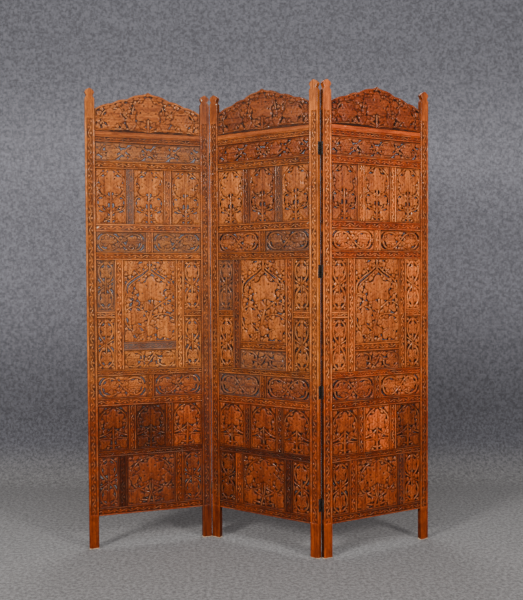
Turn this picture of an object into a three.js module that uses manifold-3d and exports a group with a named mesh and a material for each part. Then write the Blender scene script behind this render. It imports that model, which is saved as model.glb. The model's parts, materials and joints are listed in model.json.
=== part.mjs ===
// Carved folding screen of three leaves, in millimetres, +Z up.
//
// Each leaf is a frame of two stiles and eight rails that holds rows of carved
// panels with mullions between them, under a scalloped crest. Four iron butt
// hinges join each pair of leaves: on the front of the left fold, which closes
// front to front, and on the back of the right fold, which closes back to back.
//
// A leaf is drawn in its own axes: x along its width from the left edge, y from
// its front face towards its back, z up from the floor.

import * as THREE from 'three';
import { mergeVertices } from 'three/addons/utils/BufferGeometryUtils.js';
import Module from 'manifold-3d';

const wasm = await Module();
wasm.setup();

// ---------------------------------------------------------------- dimensions

const HEIGHT = 1830;
const LEAF_WIDTH = 500;
const STILE_WIDTH = 38;
const THICKNESS = 18;
const JOINT_GAP = 0.3;

// A stile's head: a point over two shoulders and a V notch.
const FINIAL_TIP_HALF = 4;
const FINIAL_SHOULDER_DROP = 16;
const FINIAL_NOTCH_DROP = 30;
const FINIAL_FOOT_DROP = 41;
const FINIAL_NOTCH_DEPTH = 7;
const FINIAL_SHOULDER_ROUND = 5;
const FINIAL_TIP_ROUND = 1.5;

// The sunk band down the front of a stile.
const STILE_BORDER = 7;
const STILE_BAND_LOW = 136;
const STILE_BAND_HIGH = 1712;

// Heights of the rails and rows of one leaf, from the floor up.
const LEG = 130;
const BOTTOM_RAIL = 30;
const BOTTOM_ROW = 206;
const RAIL_OVER_BOTTOM = 24;
const LOWER_THREE_ROW = 180;
const RAIL_OVER_LOWER_THREE = 30;
const LOWER_TWO_ROW = 90;
const RAIL_UNDER_CENTRE = 24;
const CENTRE_BLOCK = 440;
const RAIL_OVER_CENTRE = 30;
const UPPER_TWO_ROW = 82;
const RAIL_OVER_UPPER_TWO = 32;
const UPPER_THREE_ROW = 219;
const RAIL_UNDER_FRIEZE = 30;
const FRIEZE = 74;
const TOP_RAIL = 42;
const CREST_APEX_RISE = 164;
// Where the crest's scallops meet: distance from its middle, rise over the top rail.
const CREST_CUSPS = [[24, 153], [85, 132], [145, 113], [212, 88]];
const SCALLOP_SWELL = 5;
const SCALLOP_STEPS = 4;
const TIP_HOLLOW = 2;
// The crest's raised leaves: distance from its middle, rise, radius, facing.
const CREST_LEAVES = [[0, 82, 50, 90], [-112, 48, 38, 140], [112, 48, 38, 40]];
// The slit on each side of the middle leaf.
const CREST_SLIT = { offset: 62, rise: 52, length: 34, width: 8, lean: 50 };

// Widths inside the frame.
const MULLION = 29;
const SIDE_COLUMN = 73;
const BLOCK_MULLION = 33;
const BLOCK_SHORT_RAIL = 26;
const SIDE_LOWER_PANEL = 209;
const SMALL_CENTRE_PANEL = 77;
const CENTRE_SHORT_RAIL = 32;
const BOTTOM_SIDE_PANEL = 80;
const BOTTOM_MULLION = 33;

// Depths from the front face of the stiles.
const RAIL_FRONT = 1;
const RAIL_BACK = 17;
const RAIL_BORDER = 5;
const BAND_DEPTH = 1.2;
const PANEL_GROUND = 6;
const CREST_GROUND = 5;
const PANEL_BACK = 14;
const RELIEF = 3;
const TONGUE = 2;

// Hinges.
const HINGE_CENTRES = [206, 640, 1103, 1570];
const HINGE_HEIGHT = 50;
const PLATE = 1.5;
const PLATE_INSET = 1.5;
const MORTISE = PLATE + JOINT_GAP;
const EDGE_CLEARANCE = 0.3;
const PIN_PROUD = 1.2;
const BARREL_RADIUS = 2;
const BARREL_CLEARANCE = 0.3;
const BARREL_SIDES = 8;
const PIN_RADIUS = 0.9;
const BORE_RADIUS = 1.25;
const KNUCKLES = 3;
const KNUCKLE_GAP = 0.5;

// The zigzag in which the screen stands: each leaf's turn about the vertical.
const LEFT_TURN = 17;
const MIDDLE_TURN = -31.5;
const RIGHT_TURN = 26.5;

const INNER_LEFT = STILE_WIDTH;
const INNER_RIGHT = LEAF_WIDTH - STILE_WIDTH;
const INNER_WIDTH = INNER_RIGHT - INNER_LEFT;

// ------------------------------------------------------------------ finishes

const FINISHES = {
  stile: { color: 0x9c5523, roughness: 0.5 },
  rail: { color: 0x8f4a1e, roughness: 0.5 },
  panel: { color: 0x84451f, roughness: 0.6 },
  crest: { color: 0x93491b, roughness: 0.55 },
  iron: { color: 0x2b2522, roughness: 0.55, metalness: 0.8 },
};

function material(finish) {
  return new THREE.MeshStandardMaterial({ metalness: 0, ...FINISHES[finish] });
}

// --------------------------------------------------------------- solid tools

function toSolid(geometry) {
  const bare = geometry.clone();
  bare.deleteAttribute('normal');
  bare.deleteAttribute('uv');
  const merged = mergeVertices(bare, 1e-4);
  return new wasm.Manifold(new wasm.Mesh({
    numProp: 3,
    vertProperties: new Float32Array(merged.attributes.position.array),
    triVerts: new Uint32Array(merged.index.array),
  }));
}

function toGeometry(solid) {
  const mesh = solid.getMesh();
  const geometry = new THREE.BufferGeometry();
  geometry.setAttribute('position', new THREE.BufferAttribute(mesh.vertProperties, 3));
  geometry.setIndex(new THREE.BufferAttribute(mesh.triVerts, 1));
  return geometry;
}

function joined(solids) {
  return solids.reduce((whole, solid) => whole.add(solid));
}

/** A box between two corners. */
function block(x0, x1, y0, y1, z0, z1) {
  const geometry = new THREE.BoxGeometry(x1 - x0, y1 - y0, z1 - z0);
  geometry.translate((x0 + x1) / 2, (y0 + y1) / 2, (z0 + z1) / 2);
  return toSolid(geometry);
}

/** An outline in x and z, as a solid from depth y0 to depth y1. */
function cutFromBoard(points, y0, y1) {
  const geometry = new THREE.ExtrudeGeometry(new THREE.Shape(points), {
    depth: y1 - y0,
    bevelEnabled: false,
    curveSegments: 6,
  });
  geometry.rotateX(Math.PI / 2);
  geometry.translate(0, y1, 0);
  return toSolid(geometry);
}

/** A rail with a raised border along each side of its sunk front band. */
function framedRail(x0, x1, z0, z1) {
  const across = z1 - z0;
  const profile = [
    [0, RAIL_BACK],
    [across, RAIL_BACK],
    [across, RAIL_FRONT],
    [across - RAIL_BORDER, RAIL_FRONT],
    [across - RAIL_BORDER, RAIL_FRONT + BAND_DEPTH],
    [RAIL_BORDER, RAIL_FRONT + BAND_DEPTH],
    [RAIL_BORDER, RAIL_FRONT],
    [0, RAIL_FRONT],
  ].map(([up, depth]) => new THREE.Vector2(up, -depth));
  const geometry = new THREE.ExtrudeGeometry(new THREE.Shape(profile), {
    depth: x1 - x0,
    bevelEnabled: false,
  });
  // The profile's x goes up, its y goes back to front, and its length runs along x.
  geometry.applyMatrix4(new THREE.Matrix4().set(
    0, 0, 1, x0,
    0, -1, 0, 0,
    1, 0, 0, z0,
    0, 0, 0, 1,
  ));
  return toSolid(geometry);
}

/** An upright between two panels. */
function mullion(x0, x1, z0, z1) {
  return block(x0, x1, RAIL_FRONT, RAIL_BACK, z0, z1);
}

// ------------------------------------------------------------ carved outlines

function at(cx, cz, radius, degrees) {
  const angle = THREE.MathUtils.degToRad(degrees);
  return new THREE.Vector2(cx + radius * Math.cos(angle), cz + radius * Math.sin(angle));
}

/** A leaf with an odd count of pointed lobes, notched at its stalk if it is a large one. */
function lobedLeaf(cx, cz, radius, lobes, facing = 90) {
  const points = [];
  const step = 250 / lobes;
  const first = facing - (step * (lobes - 1)) / 2;
  for (let i = 0; i < lobes; i += 1) {
    const middle = Math.abs(i - (lobes - 1) / 2) / lobes;
    points.push(at(cx, cz, radius * (1 - 0.35 * middle), first + step * i));
    if (i < lobes - 1) points.push(at(cx, cz, radius * 0.62, first + step * (i + 0.5)));
  }
  if (lobes > 3) points.push(at(cx, cz, radius * 0.3, facing + 180));
  return points;
}

/** A pierced slit, pointed at both ends. */
function slit(cx, cz, length, width, turn) {
  return [
    at(cx, cz, length / 2, turn),
    at(cx, cz, width / 2, turn + 90),
    at(cx, cz, length / 2, turn + 180),
    at(cx, cz, width / 2, turn - 90),
  ];
}

/**
 * A carved panel: a board with raised leaves and pierced slits. Both lists are
 * in shares of the panel's width and height.
 */
function carvedPanel(x0, x1, z0, z1, leaves, slits) {
  const width = x1 - x0;
  const height = z1 - z0;
  const size = Math.min(width, height);
  let panel = block(x0 - TONGUE, x1 + TONGUE, PANEL_GROUND, PANEL_BACK, z0, z1);
  leaves.forEach(([u, v, share, lobes, facing]) => {
    const outline = lobedLeaf(x0 + u * width, z0 + v * height, share * size, lobes, facing);
    panel = panel.add(cutFromBoard(outline, PANEL_GROUND - RELIEF, PANEL_GROUND + 1));
  });
  slits.forEach(([u, v, length, turn]) => {
    const outline = slit(x0 + u * width, z0 + v * height, length * size, 0.09 * size, turn);
    panel = panel.subtract(cutFromBoard(outline, 0, THICKNESS));
  });
  return panel;
}

/** The same list with each entry also mirrored left to right. */
function bothSides(entries) {
  const mirrored = entries.map((entry) => {
    const copy = [...entry];
    const turn = copy.length - 1;
    copy[0] = 1 - copy[0];
    copy[turn] = 180 - copy[turn];
    return copy;
  });
  return [...entries, ...mirrored];
}

// -------------------------------------------------------------- panel designs

function uprightVinePanel(x0, x1, z0, z1) {
  const leaves = [[0.5, 0.66, 0.3, 5, 90], ...bothSides([[0.22, 0.12, 0.16, 3, 40]])];
  const slits = bothSides([[0.3, 0.32, 0.36, 50]]);
  return carvedPanel(x0, x1, z0, z1, leaves, slits);
}

function lyingScrollPanel(x0, x1, z0, z1) {
  const leaves = bothSides([[0.25, 0.5, 0.3, 3, 0]]);
  return carvedPanel(x0, x1, z0, z1, leaves, [[0.5, 0.5, 0.5, 90]]);
}

function narrowScrollPanel(x0, x1, z0, z1) {
  const leaves = [[0.5, 0.73, 0.3, 3, 90], [0.5, 0.27, 0.3, 3, 270]];
  return carvedPanel(x0, x1, z0, z1, leaves, [[0.5, 0.5, 0.5, 0]]);
}

function treePanel(x0, x1, z0, z1) {
  const leaves = [
    [0.5, 0.58, 0.3, 5, 90],
    [0.72, 0.2, 0.24, 5, 20],
    [0.24, 0.27, 0.16, 3, 150],
    ...bothSides([[0.15, 0.9, 0.13, 3, 130]]),
  ];
  const slits = bothSides([[0.2, 0.78, 0.26, 45]]);
  return carvedPanel(x0, x1, z0, z1, leaves, slits);
}

function smallLyingPanel(x0, x1, z0, z1) {
  return carvedPanel(x0, x1, z0, z1, bothSides([[0.27, 0.5, 0.34, 3, 180]]), [[0.5, 0.5, 0.5, 60]]);
}

function friezePanel(x0, x1, z0, z1) {
  const leaves = [0.1, 0.3, 0.5, 0.7, 0.9].map((u, i) => [u, 0.5, 0.3, 3, i % 2 ? 270 : 90]);
  const slits = [0.2, 0.4, 0.6, 0.8].map((u, i) => [u, 0.5, 0.5, i % 2 ? 60 : 120]);
  return carvedPanel(x0, x1, z0, z1, leaves, slits);
}

function wreathPanel(x0, x1, z0, z1) {
  return carvedPanel(x0, x1, z0, z1, [[0.5, 0.6, 0.36, 7, 90]], []);
}

function broadWreathPanel(x0, x1, z0, z1) {
  const leaves = [[0.5, 0.57, 0.3, 7, 90], ...bothSides([[0.16, 0.16, 0.14, 3, 40]])];
  return carvedPanel(x0, x1, z0, z1, leaves, bothSides([[0.36, 0.2, 0.16, 135]]));
}

// --------------------------------------------------------------- crest board

/** Half of the crest's top edge, from the apex down to the stile. */
function crestHalf() {
  const points = [new THREE.Vector2(0, CREST_APEX_RISE)];
  const [shoulder, ...cusps] = CREST_CUSPS;
  const tipMiddle = (CREST_APEX_RISE + shoulder[1]) / 2 - TIP_HOLLOW;
  points.push(new THREE.Vector2(shoulder[0] / 2, tipMiddle));
  points.push(new THREE.Vector2(...shoulder));
  let from = shoulder;
  cusps.forEach((to) => {
    for (let i = 1; i <= SCALLOP_STEPS; i += 1) {
      const t = i / SCALLOP_STEPS;
      const swell = SCALLOP_SWELL * Math.sin(Math.PI * t);
      const x = THREE.MathUtils.lerp(from[0], to[0], t);
      points.push(new THREE.Vector2(x, THREE.MathUtils.lerp(from[1], to[1], t) + swell));
    }
    from = to;
  });
  points[points.length - 1].x -= JOINT_GAP;
  return points;
}

function crestBoard(z0) {
  const middle = LEAF_WIDTH / 2;
  const half = crestHalf();
  const right = half.map((p) => new THREE.Vector2(middle + p.x, z0 + p.y));
  const left = half.slice(1).reverse().map((p) => new THREE.Vector2(middle - p.x, z0 + p.y));
  const rightEnd = INNER_RIGHT - JOINT_GAP;
  const leftEnd = INNER_LEFT + JOINT_GAP;
  const outline = [
    new THREE.Vector2(leftEnd, z0 - TONGUE),
    new THREE.Vector2(rightEnd, z0 - TONGUE),
    ...[...left, ...right].reverse(),
  ];
  let crest = cutFromBoard(outline, CREST_GROUND, PANEL_BACK);
  CREST_LEAVES.forEach(([offset, rise, radius, facing]) => {
    const outlineOfLeaf = lobedLeaf(middle + offset, z0 + rise, radius, 5, facing);
    crest = crest.add(cutFromBoard(outlineOfLeaf, PANEL_GROUND - RELIEF, PANEL_GROUND));
  });
  [-1, 1].forEach((side) => {
    const { offset, rise, length, width, lean } = CREST_SLIT;
    const cut = slit(middle + side * offset, z0 + rise, length, width, side > 0 ? lean : 180 - lean);
    crest = crest.subtract(cutFromBoard(cut, 0, THICKNESS));
  });
  return crest;
}

// -------------------------------------------------------------------- stiles

/** Outline of a stile from its foot to its pointed head, with hinge recesses. */
function stileOutline(hingedLeft, hingedRight) {
  const w = STILE_WIDTH;
  const head = [
    new THREE.Vector2(w, HEIGHT - FINIAL_FOOT_DROP),
    new THREE.Vector2(w - FINIAL_NOTCH_DEPTH, HEIGHT - FINIAL_NOTCH_DROP),
    new THREE.Vector2(w, HEIGHT - FINIAL_SHOULDER_DROP),
    new THREE.Vector2(w - FINIAL_SHOULDER_ROUND, HEIGHT - FINIAL_SHOULDER_DROP / 2),
    new THREE.Vector2(w / 2 + FINIAL_TIP_HALF, HEIGHT - FINIAL_TIP_ROUND),
    new THREE.Vector2(w / 2, HEIGHT),
    new THREE.Vector2(w / 2 - FINIAL_TIP_HALF, HEIGHT - FINIAL_TIP_ROUND),
    new THREE.Vector2(FINIAL_SHOULDER_ROUND, HEIGHT - FINIAL_SHOULDER_DROP / 2),
    new THREE.Vector2(0, HEIGHT - FINIAL_SHOULDER_DROP),
    new THREE.Vector2(FINIAL_NOTCH_DEPTH, HEIGHT - FINIAL_NOTCH_DROP),
    new THREE.Vector2(0, HEIGHT - FINIAL_FOOT_DROP),
  ];
  const recess = HINGE_HEIGHT / 2 + JOINT_GAP;
  const recesses = (x, inward) => HINGE_CENTRES.flatMap((z) => [
    new THREE.Vector2(x, z - recess),
    new THREE.Vector2(x + inward * MORTISE, z - recess),
    new THREE.Vector2(x + inward * MORTISE, z + recess),
    new THREE.Vector2(x, z + recess),
  ]);
  return [
    new THREE.Vector2(0, 0),
    new THREE.Vector2(w, 0),
    ...(hingedRight ? recesses(w, -1) : []),
    ...head,
    ...(hingedLeft ? recesses(0, 1).reverse() : []),
  ];
}

function stile(hingedLeft, hingedRight) {
  const outline = stileOutline(hingedLeft, hingedRight);
  const band = block(
    STILE_BORDER, STILE_WIDTH - STILE_BORDER,
    -1, BAND_DEPTH,
    STILE_BAND_LOW, STILE_BAND_HIGH,
  );
  return cutFromBoard(outline, 0, THICKNESS).subtract(band);
}

// ---------------------------------------------------------------- rows of a leaf

/** Left and right ends of the equal panels of a row, and of its mullions. */
function divided(count, mullion) {
  const panel = (INNER_WIDTH - (count - 1) * mullion) / count;
  const panels = [];
  const mullions = [];
  for (let i = 0; i < count; i += 1) {
    const x = INNER_LEFT + i * (panel + mullion);
    panels.push([x, x + panel]);
    if (i < count - 1) mullions.push([x + panel, x + panel + mullion]);
  }
  return { panels, mullions };
}

/** Trims a row or rail so that it keeps a hair of room to the frame round it. */
function trimmed(solid, z0, z1) {
  const room = block(
    INNER_LEFT + JOINT_GAP, INNER_RIGHT - JOINT_GAP,
    -1, THICKNESS + 1,
    z0, z1,
  );
  return solid.intersect(room);
}

function panelRow(z0, z1, count, design) {
  const { panels, mullions } = divided(count, MULLION);
  const low = z0 + JOINT_GAP;
  const high = z1 - JOINT_GAP;
  const solids = [
    ...panels.map(([a, b]) => design(a, b, low, high)),
    ...mullions.map(([a, b]) => mullion(a, b, low, high)),
  ];
  return trimmed(joined(solids), low, high);
}

function rail(z0, z1) {
  return framedRail(INNER_LEFT + JOINT_GAP, INNER_RIGHT - JOINT_GAP, z0, z1);
}

/** The tall middle of a leaf: two side columns round the tree panel. */
function centreBlock(z0, z1) {
  const low = z0 + RAIL_UNDER_CENTRE - TONGUE;
  const high = z1 - RAIL_OVER_CENTRE + TONGUE;
  const base = z0 + RAIL_UNDER_CENTRE;
  const xa = INNER_LEFT + SIDE_COLUMN;
  const xb = xa + BLOCK_MULLION;
  const xc = INNER_RIGHT - SIDE_COLUMN - BLOCK_MULLION;
  const xd = INNER_RIGHT - SIDE_COLUMN;
  const shortLow = base + SIDE_LOWER_PANEL;
  const shortHigh = shortLow + BLOCK_SHORT_RAIL;
  const centreLow = base + SMALL_CENTRE_PANEL;
  const centreHigh = centreLow + CENTRE_SHORT_RAIL;
  const solids = [
    rail(z0, base),
    rail(z1 - RAIL_OVER_CENTRE, z1),
    mullion(xa, xb, low, high),
    mullion(xc, xd, low, high),
    framedRail(xb - TONGUE, xc + TONGUE, centreLow, centreHigh),
    smallLyingPanel(xb, xc, low, centreLow + TONGUE),
    treePanel(xb, xc, centreHigh - TONGUE, high),
  ];
  [[INNER_LEFT, xa], [xd, INNER_RIGHT]].forEach(([a, b]) => {
    solids.push(narrowScrollPanel(a, b, low, shortLow + TONGUE));
    solids.push(framedRail(a - TONGUE, b + TONGUE, shortLow, shortHigh));
    solids.push(narrowScrollPanel(a, b, shortHigh - TONGUE, high));
  });
  return trimmed(joined(solids), z0, z1);
}

/** The bottom row, a broad panel between two narrow ones, on the bottom rail. */
function bottomRow(z0, z1) {
  const low = z0 + BOTTOM_RAIL - TONGUE;
  const high = z1 - JOINT_GAP;
  const xa = INNER_LEFT + BOTTOM_SIDE_PANEL;
  const xb = xa + BOTTOM_MULLION;
  const xc = INNER_RIGHT - BOTTOM_SIDE_PANEL - BOTTOM_MULLION;
  const xd = INNER_RIGHT - BOTTOM_SIDE_PANEL;
  const solids = [
    rail(z0, z0 + BOTTOM_RAIL),
    mullion(xa, xb, low, high),
    mullion(xc, xd, low, high),
    narrowScrollPanel(INNER_LEFT, xa, low, high),
    broadWreathPanel(xb, xc, low, high),
    narrowScrollPanel(xd, INNER_RIGHT, low, high),
  ];
  return trimmed(joined(solids), z0, high);
}

function crestAndTopRail(z0, z1) {
  return joined([rail(z0, z1), crestBoard(z1)]);
}

// -------------------------------------------------------------------- hinges

function knuckleSpan(index, base) {
  const pitch = HINGE_HEIGHT / KNUCKLES;
  const low = index === 0 ? 0 : KNUCKLE_GAP / 2;
  const high = index === KNUCKLES - 1 ? 0 : KNUCKLE_GAP / 2;
  return [base + index * pitch + low, base + (index + 1) * pitch - high];
}

function upright(radius, x, y, z0, z1) {
  const geometry = new THREE.CylinderGeometry(radius, radius, z1 - z0, BARREL_SIDES);
  geometry.rotateX(Math.PI / 2);
  geometry.translate(x, y, (z0 + z1) / 2);
  return toSolid(geometry);
}

/**
 * One plate of a hinge with its knuckles, in the axes of its leaf. It is cut
 * back round the knuckles of the other plate. The plate with the even knuckles
 * also carries the pin.
 */
function hingePlate(onRightEdge, onFront, centre, withPin) {
  const inward = onRightEdge ? -1 : 1;
  const edge = onRightEdge ? LEAF_WIDTH : 0;
  const pinX = edge - inward * EDGE_CLEARANCE;
  const pinY = onFront ? -PIN_PROUD : THICKNESS + PIN_PROUD;
  const base = centre - HINGE_HEIGHT / 2;
  const xs = [edge, edge + inward * PLATE].sort((a, b) => a - b);
  const ys = onFront ? [0, THICKNESS - PLATE_INSET] : [PLATE_INSET, THICKNESS];
  const solids = [block(xs[0], xs[1], ys[0], ys[1], base, base + HINGE_HEIGHT)];
  for (let i = withPin ? 0 : 1; i < KNUCKLES; i += 2) {
    const [z0, z1] = knuckleSpan(i, base);
    const tab = onFront ? [pinY, 1] : [THICKNESS - 1, pinY];
    solids.push(upright(BARREL_RADIUS, pinX, pinY, z0, z1));
    solids.push(block(xs[0], xs[1], tab[0], tab[1], z0, z1));
  }
  const rooms = [];
  for (let i = withPin ? 1 : 0; i < KNUCKLES; i += 2) {
    const z0 = base + i * (HINGE_HEIGHT / KNUCKLES) - (i === 0 ? 1 : KNUCKLE_GAP / 2);
    const z1 = base + (i + 1) * (HINGE_HEIGHT / KNUCKLES) + (i === KNUCKLES - 1 ? 1 : KNUCKLE_GAP / 2);
    rooms.push(upright(BARREL_RADIUS + BARREL_CLEARANCE, pinX, pinY, z0, z1));
  }
  const cleared = joined(solids).subtract(joined(rooms));
  if (withPin) {
    return cleared.add(upright(PIN_RADIUS, pinX, pinY, base, base + HINGE_HEIGHT));
  }
  return cleared.subtract(upright(BORE_RADIUS, pinX, pinY, base - 1, base + HINGE_HEIGHT + 1));
}

// ------------------------------------------------------------------- assembly

function named(name, solid, finish) {
  const mesh = new THREE.Mesh(toGeometry(solid), material(finish));
  mesh.name = name;
  return mesh;
}

/** All the wooden pieces of one leaf, from the floor up. */
function leaf(side, hingedLeft, hingedRight) {
  const group = new THREE.Group();
  const put = (name, solid, finish) => group.add(named(`${side}_${name}`, solid, finish));

  const leftStile = named(`${side}_leaf_left_stile`, stile(hingedLeft, false), 'stile');
  const rightStile = named(`${side}_leaf_right_stile`, stile(false, hingedRight), 'stile');
  rightStile.position.x = LEAF_WIDTH - STILE_WIDTH;
  group.add(leftStile, rightStile);

  const rows = [
    ['bottom_panels_and_rail', BOTTOM_RAIL + BOTTOM_ROW, bottomRow, 'panel'],
    ['rail_over_bottom_panels', RAIL_OVER_BOTTOM, rail, 'rail'],
    ['lower_three_panels', LOWER_THREE_ROW, (a, b) => panelRow(a, b, 3, wreathPanel), 'panel'],
    ['rail_over_lower_three', RAIL_OVER_LOWER_THREE, rail, 'rail'],
    ['lower_two_panels', LOWER_TWO_ROW, (a, b) => panelRow(a, b, 2, lyingScrollPanel), 'panel'],
    ['centre_block', RAIL_UNDER_CENTRE + CENTRE_BLOCK + RAIL_OVER_CENTRE, centreBlock, 'panel'],
    ['upper_two_panels', UPPER_TWO_ROW, (a, b) => panelRow(a, b, 2, lyingScrollPanel), 'panel'],
    ['rail_over_upper_two', RAIL_OVER_UPPER_TWO, rail, 'rail'],
    ['upper_three_panels', UPPER_THREE_ROW, (a, b) => panelRow(a, b, 3, uprightVinePanel), 'panel'],
    ['rail_under_frieze', RAIL_UNDER_FRIEZE, rail, 'rail'],
    ['frieze_panel', FRIEZE, (a, b) => panelRow(a, b, 1, friezePanel), 'panel'],
    ['crest_and_top_rail', TOP_RAIL, crestAndTopRail, 'crest'],
  ];
  let z = LEG;
  rows.forEach(([name, height, make, finish]) => {
    put(name, make(z, z + height), finish);
    z += height;
  });
  return group;
}

/** The four hinge plates on one edge of a leaf. */
function hingePlates(fold, onRightEdge, onFront, withPin) {
  const half = onRightEdge ? 'left' : 'right';
  return HINGE_CENTRES.map((centre, i) => named(
    `${fold}_fold_hinge_${i + 1}_${half}_plate`,
    hingePlate(onRightEdge, onFront, centre, withPin),
    'iron',
  ));
}

/** Turns a leaf and moves it so that a point in its own axes meets a point in the room. */
function stand(group, degrees, own, room) {
  group.rotation.z = THREE.MathUtils.degToRad(degrees);
  const turned = own.clone().applyAxisAngle(new THREE.Vector3(0, 0, 1), group.rotation.z);
  group.position.copy(room).sub(turned);
}

const leftFoldRight = new THREE.Vector3(-EDGE_CLEARANCE, -PIN_PROUD, 0);
const leftFoldLeft = new THREE.Vector3(LEAF_WIDTH + EDGE_CLEARANCE, -PIN_PROUD, 0);
const rightFoldLeft = new THREE.Vector3(LEAF_WIDTH + EDGE_CLEARANCE, THICKNESS + PIN_PROUD, 0);
const rightFoldRight = new THREE.Vector3(-EDGE_CLEARANCE, THICKNESS + PIN_PROUD, 0);

const leftLeaf = leaf('left', false, true);
leftLeaf.add(...hingePlates('left', true, true, true));
const middleLeaf = leaf('middle', true, true);
middleLeaf.add(...hingePlates('left', false, true, false));
middleLeaf.add(...hingePlates('right', true, false, true));
const rightLeaf = leaf('right', true, false);
rightLeaf.add(...hingePlates('right', false, false, false));

const origin = new THREE.Vector3();
stand(middleLeaf, MIDDLE_TURN, origin, origin);
const pinAt = (own) => own.clone().applyAxisAngle(new THREE.Vector3(0, 0, 1), middleLeaf.rotation.z);
stand(leftLeaf, LEFT_TURN, leftFoldLeft, pinAt(leftFoldRight));
stand(rightLeaf, RIGHT_TURN, rightFoldRight, pinAt(rightFoldLeft));

const screen = new THREE.Group();
screen.add(leftLeaf, middleLeaf, rightLeaf);

// The origin is on the floor, in the middle of the space that the screen takes.
screen.updateMatrixWorld(true);
const space = new THREE.Box3().setFromObject(screen, true);
const middle = space.getCenter(new THREE.Vector3());
screen.position.set(-middle.x, -middle.y, -space.min.z);

export default screen;
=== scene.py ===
"""Folding screen of three carved and pierced hardwood leaves on iron butt hinges."""

import json
import logging
import math
from dataclasses import dataclass, field
from enum import Enum
from typing import Callable, Iterable, Optional, Sequence

import bpy
import numpy as np
from bpy.types import ID, Material, Mesh, Node, NodeSocket, NodeTree, Object
from mathutils import Euler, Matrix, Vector

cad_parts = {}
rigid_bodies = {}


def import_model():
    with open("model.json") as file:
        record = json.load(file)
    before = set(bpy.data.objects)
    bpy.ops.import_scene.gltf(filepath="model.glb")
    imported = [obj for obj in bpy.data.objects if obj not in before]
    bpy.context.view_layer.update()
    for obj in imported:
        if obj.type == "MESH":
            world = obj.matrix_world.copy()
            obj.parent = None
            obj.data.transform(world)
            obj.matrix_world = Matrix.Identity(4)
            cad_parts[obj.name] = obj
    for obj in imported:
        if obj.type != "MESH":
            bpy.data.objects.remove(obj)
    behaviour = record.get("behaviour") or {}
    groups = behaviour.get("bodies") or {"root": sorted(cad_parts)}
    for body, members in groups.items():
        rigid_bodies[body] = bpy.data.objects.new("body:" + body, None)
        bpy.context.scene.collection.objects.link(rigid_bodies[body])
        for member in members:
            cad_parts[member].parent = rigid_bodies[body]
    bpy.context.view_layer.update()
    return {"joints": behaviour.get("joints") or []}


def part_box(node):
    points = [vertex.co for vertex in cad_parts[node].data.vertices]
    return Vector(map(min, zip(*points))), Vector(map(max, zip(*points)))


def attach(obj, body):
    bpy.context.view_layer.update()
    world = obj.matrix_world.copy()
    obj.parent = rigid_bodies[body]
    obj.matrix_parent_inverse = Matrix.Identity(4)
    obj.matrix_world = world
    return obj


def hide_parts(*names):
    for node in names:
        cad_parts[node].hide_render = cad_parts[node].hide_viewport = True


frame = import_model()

MM = 0.001
FAR = 1e3  # a distance outside every outline, in millimetres
DEEP_INSIDE = -50.0  # a distance outside, of places well within the wood
HINGES_PER_FOLD = 4

log = logging.getLogger("screen")

Point = tuple[float, float]


# --- Options


class Grain(Enum):
    """Which way the grain runs in a board."""

    LYING = "lying"
    UPRIGHT = "upright"


class Side(Enum):
    """The three leaves, as seen from the front."""

    LEFT = "left"
    MIDDLE = "middle"
    RIGHT = "right"


class Tone(Enum):
    """How the wood of one board has aged: lightness, redness, dust."""

    PLAIN = (1.0, 0.1, 0.0)
    FRESH = (1.25, 0.1, 0.0)
    LIGHT = (1.5, 0.05, 0.0)
    PALE = (1.8, 0.0, 0.0)
    FADED = (1.5, 0.0, 0.25)
    RED = (1.15, 0.6, 0.0)
    DARK = (0.6, 0.5, 0.0)
    BLACKENED = (0.4, 0.3, 0.0)
    SHADY = (0.72, 0.3, 0.1)
    DUSTY = (0.66, 0.0, 0.4)
    GREY = (0.8, 0.0, 0.9)


# --- Carving: what is wood, and how high it stands


def eased(value: np.ndarray) -> np.ndarray:
    """Eases a share from 0 to 1 so that it starts and ends level."""
    share = np.clip(value, 0.0, 1.0)
    return share * share * (3.0 - 2.0 * share)


def domed(across: np.ndarray) -> np.ndarray:
    """Gives the height of a round back at shares of its half width."""
    return np.sqrt(np.clip(1 - across**2, 0, 1))


def groove(across: np.ndarray, half: float) -> np.ndarray:
    """Gives the depth of a round-bottomed groove at distances from its middle."""
    return np.exp(-((across / half) ** 2))


def flowing(points: Sequence[Point], steps: int = 10) -> np.ndarray:
    """Draws a smooth line through the given points.

    Args:
        points: Two or more points in millimetres.
        steps: How many short runs lie between two points.

    Returns:
        The line's points, one per row.
    """
    given = np.asarray(points, float)
    if len(given) == 2:
        share = np.linspace(0, 1, steps + 1)[:, None]
        return given[0] * (1 - share) + given[1] * share
    ends = np.vstack([2 * given[0] - given[1], given, 2 * given[-1] - given[-2]])
    t = np.linspace(0, 1, steps, endpoint=False)[:, None]
    runs = [
        0.5 * (2 * b + (c - a) * t + (2 * a - 5 * b + 4 * c - d) * t**2
               + (3 * b - a - 3 * c + d) * t**3)
        for a, b, c, d in zip(ends[:-3], ends[1:-2], ends[2:-1], ends[3:])
    ]
    return np.vstack([*runs, given[-1][None]])


def mirrored(points: Sequence[Point]) -> list[Point]:
    """Mirrors points across the board's middle."""
    return [(-x, z) for x, z in points]


@dataclass
class LeafShape:
    """The outline of a carved vine leaf.

    Attributes:
        spread: Turn of each lobe from the middle one, in degrees, on one side.
        length: Length of each lobe as a share of the leaf's size.
        valley: How far the notches between lobes reach out, as a share.
        heel: Outline at the stalk, as a share.
    """

    spread: tuple[float, ...]
    length: tuple[float, ...]
    valley: float
    heel: float


LEAF_SHAPES = {
    1: LeafShape((0,), (1.0,), 0.7, 0.72),
    3: LeafShape((0, 82), (1.0, 0.86), 0.66, 0.3),
    5: LeafShape((0, 58, 120), (1.0, 0.94, 0.78), 0.68, 0.3),
    7: LeafShape((0, 44, 88, 136), (1.0, 0.96, 0.88, 0.72), 0.72, 0.3),
}


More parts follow.
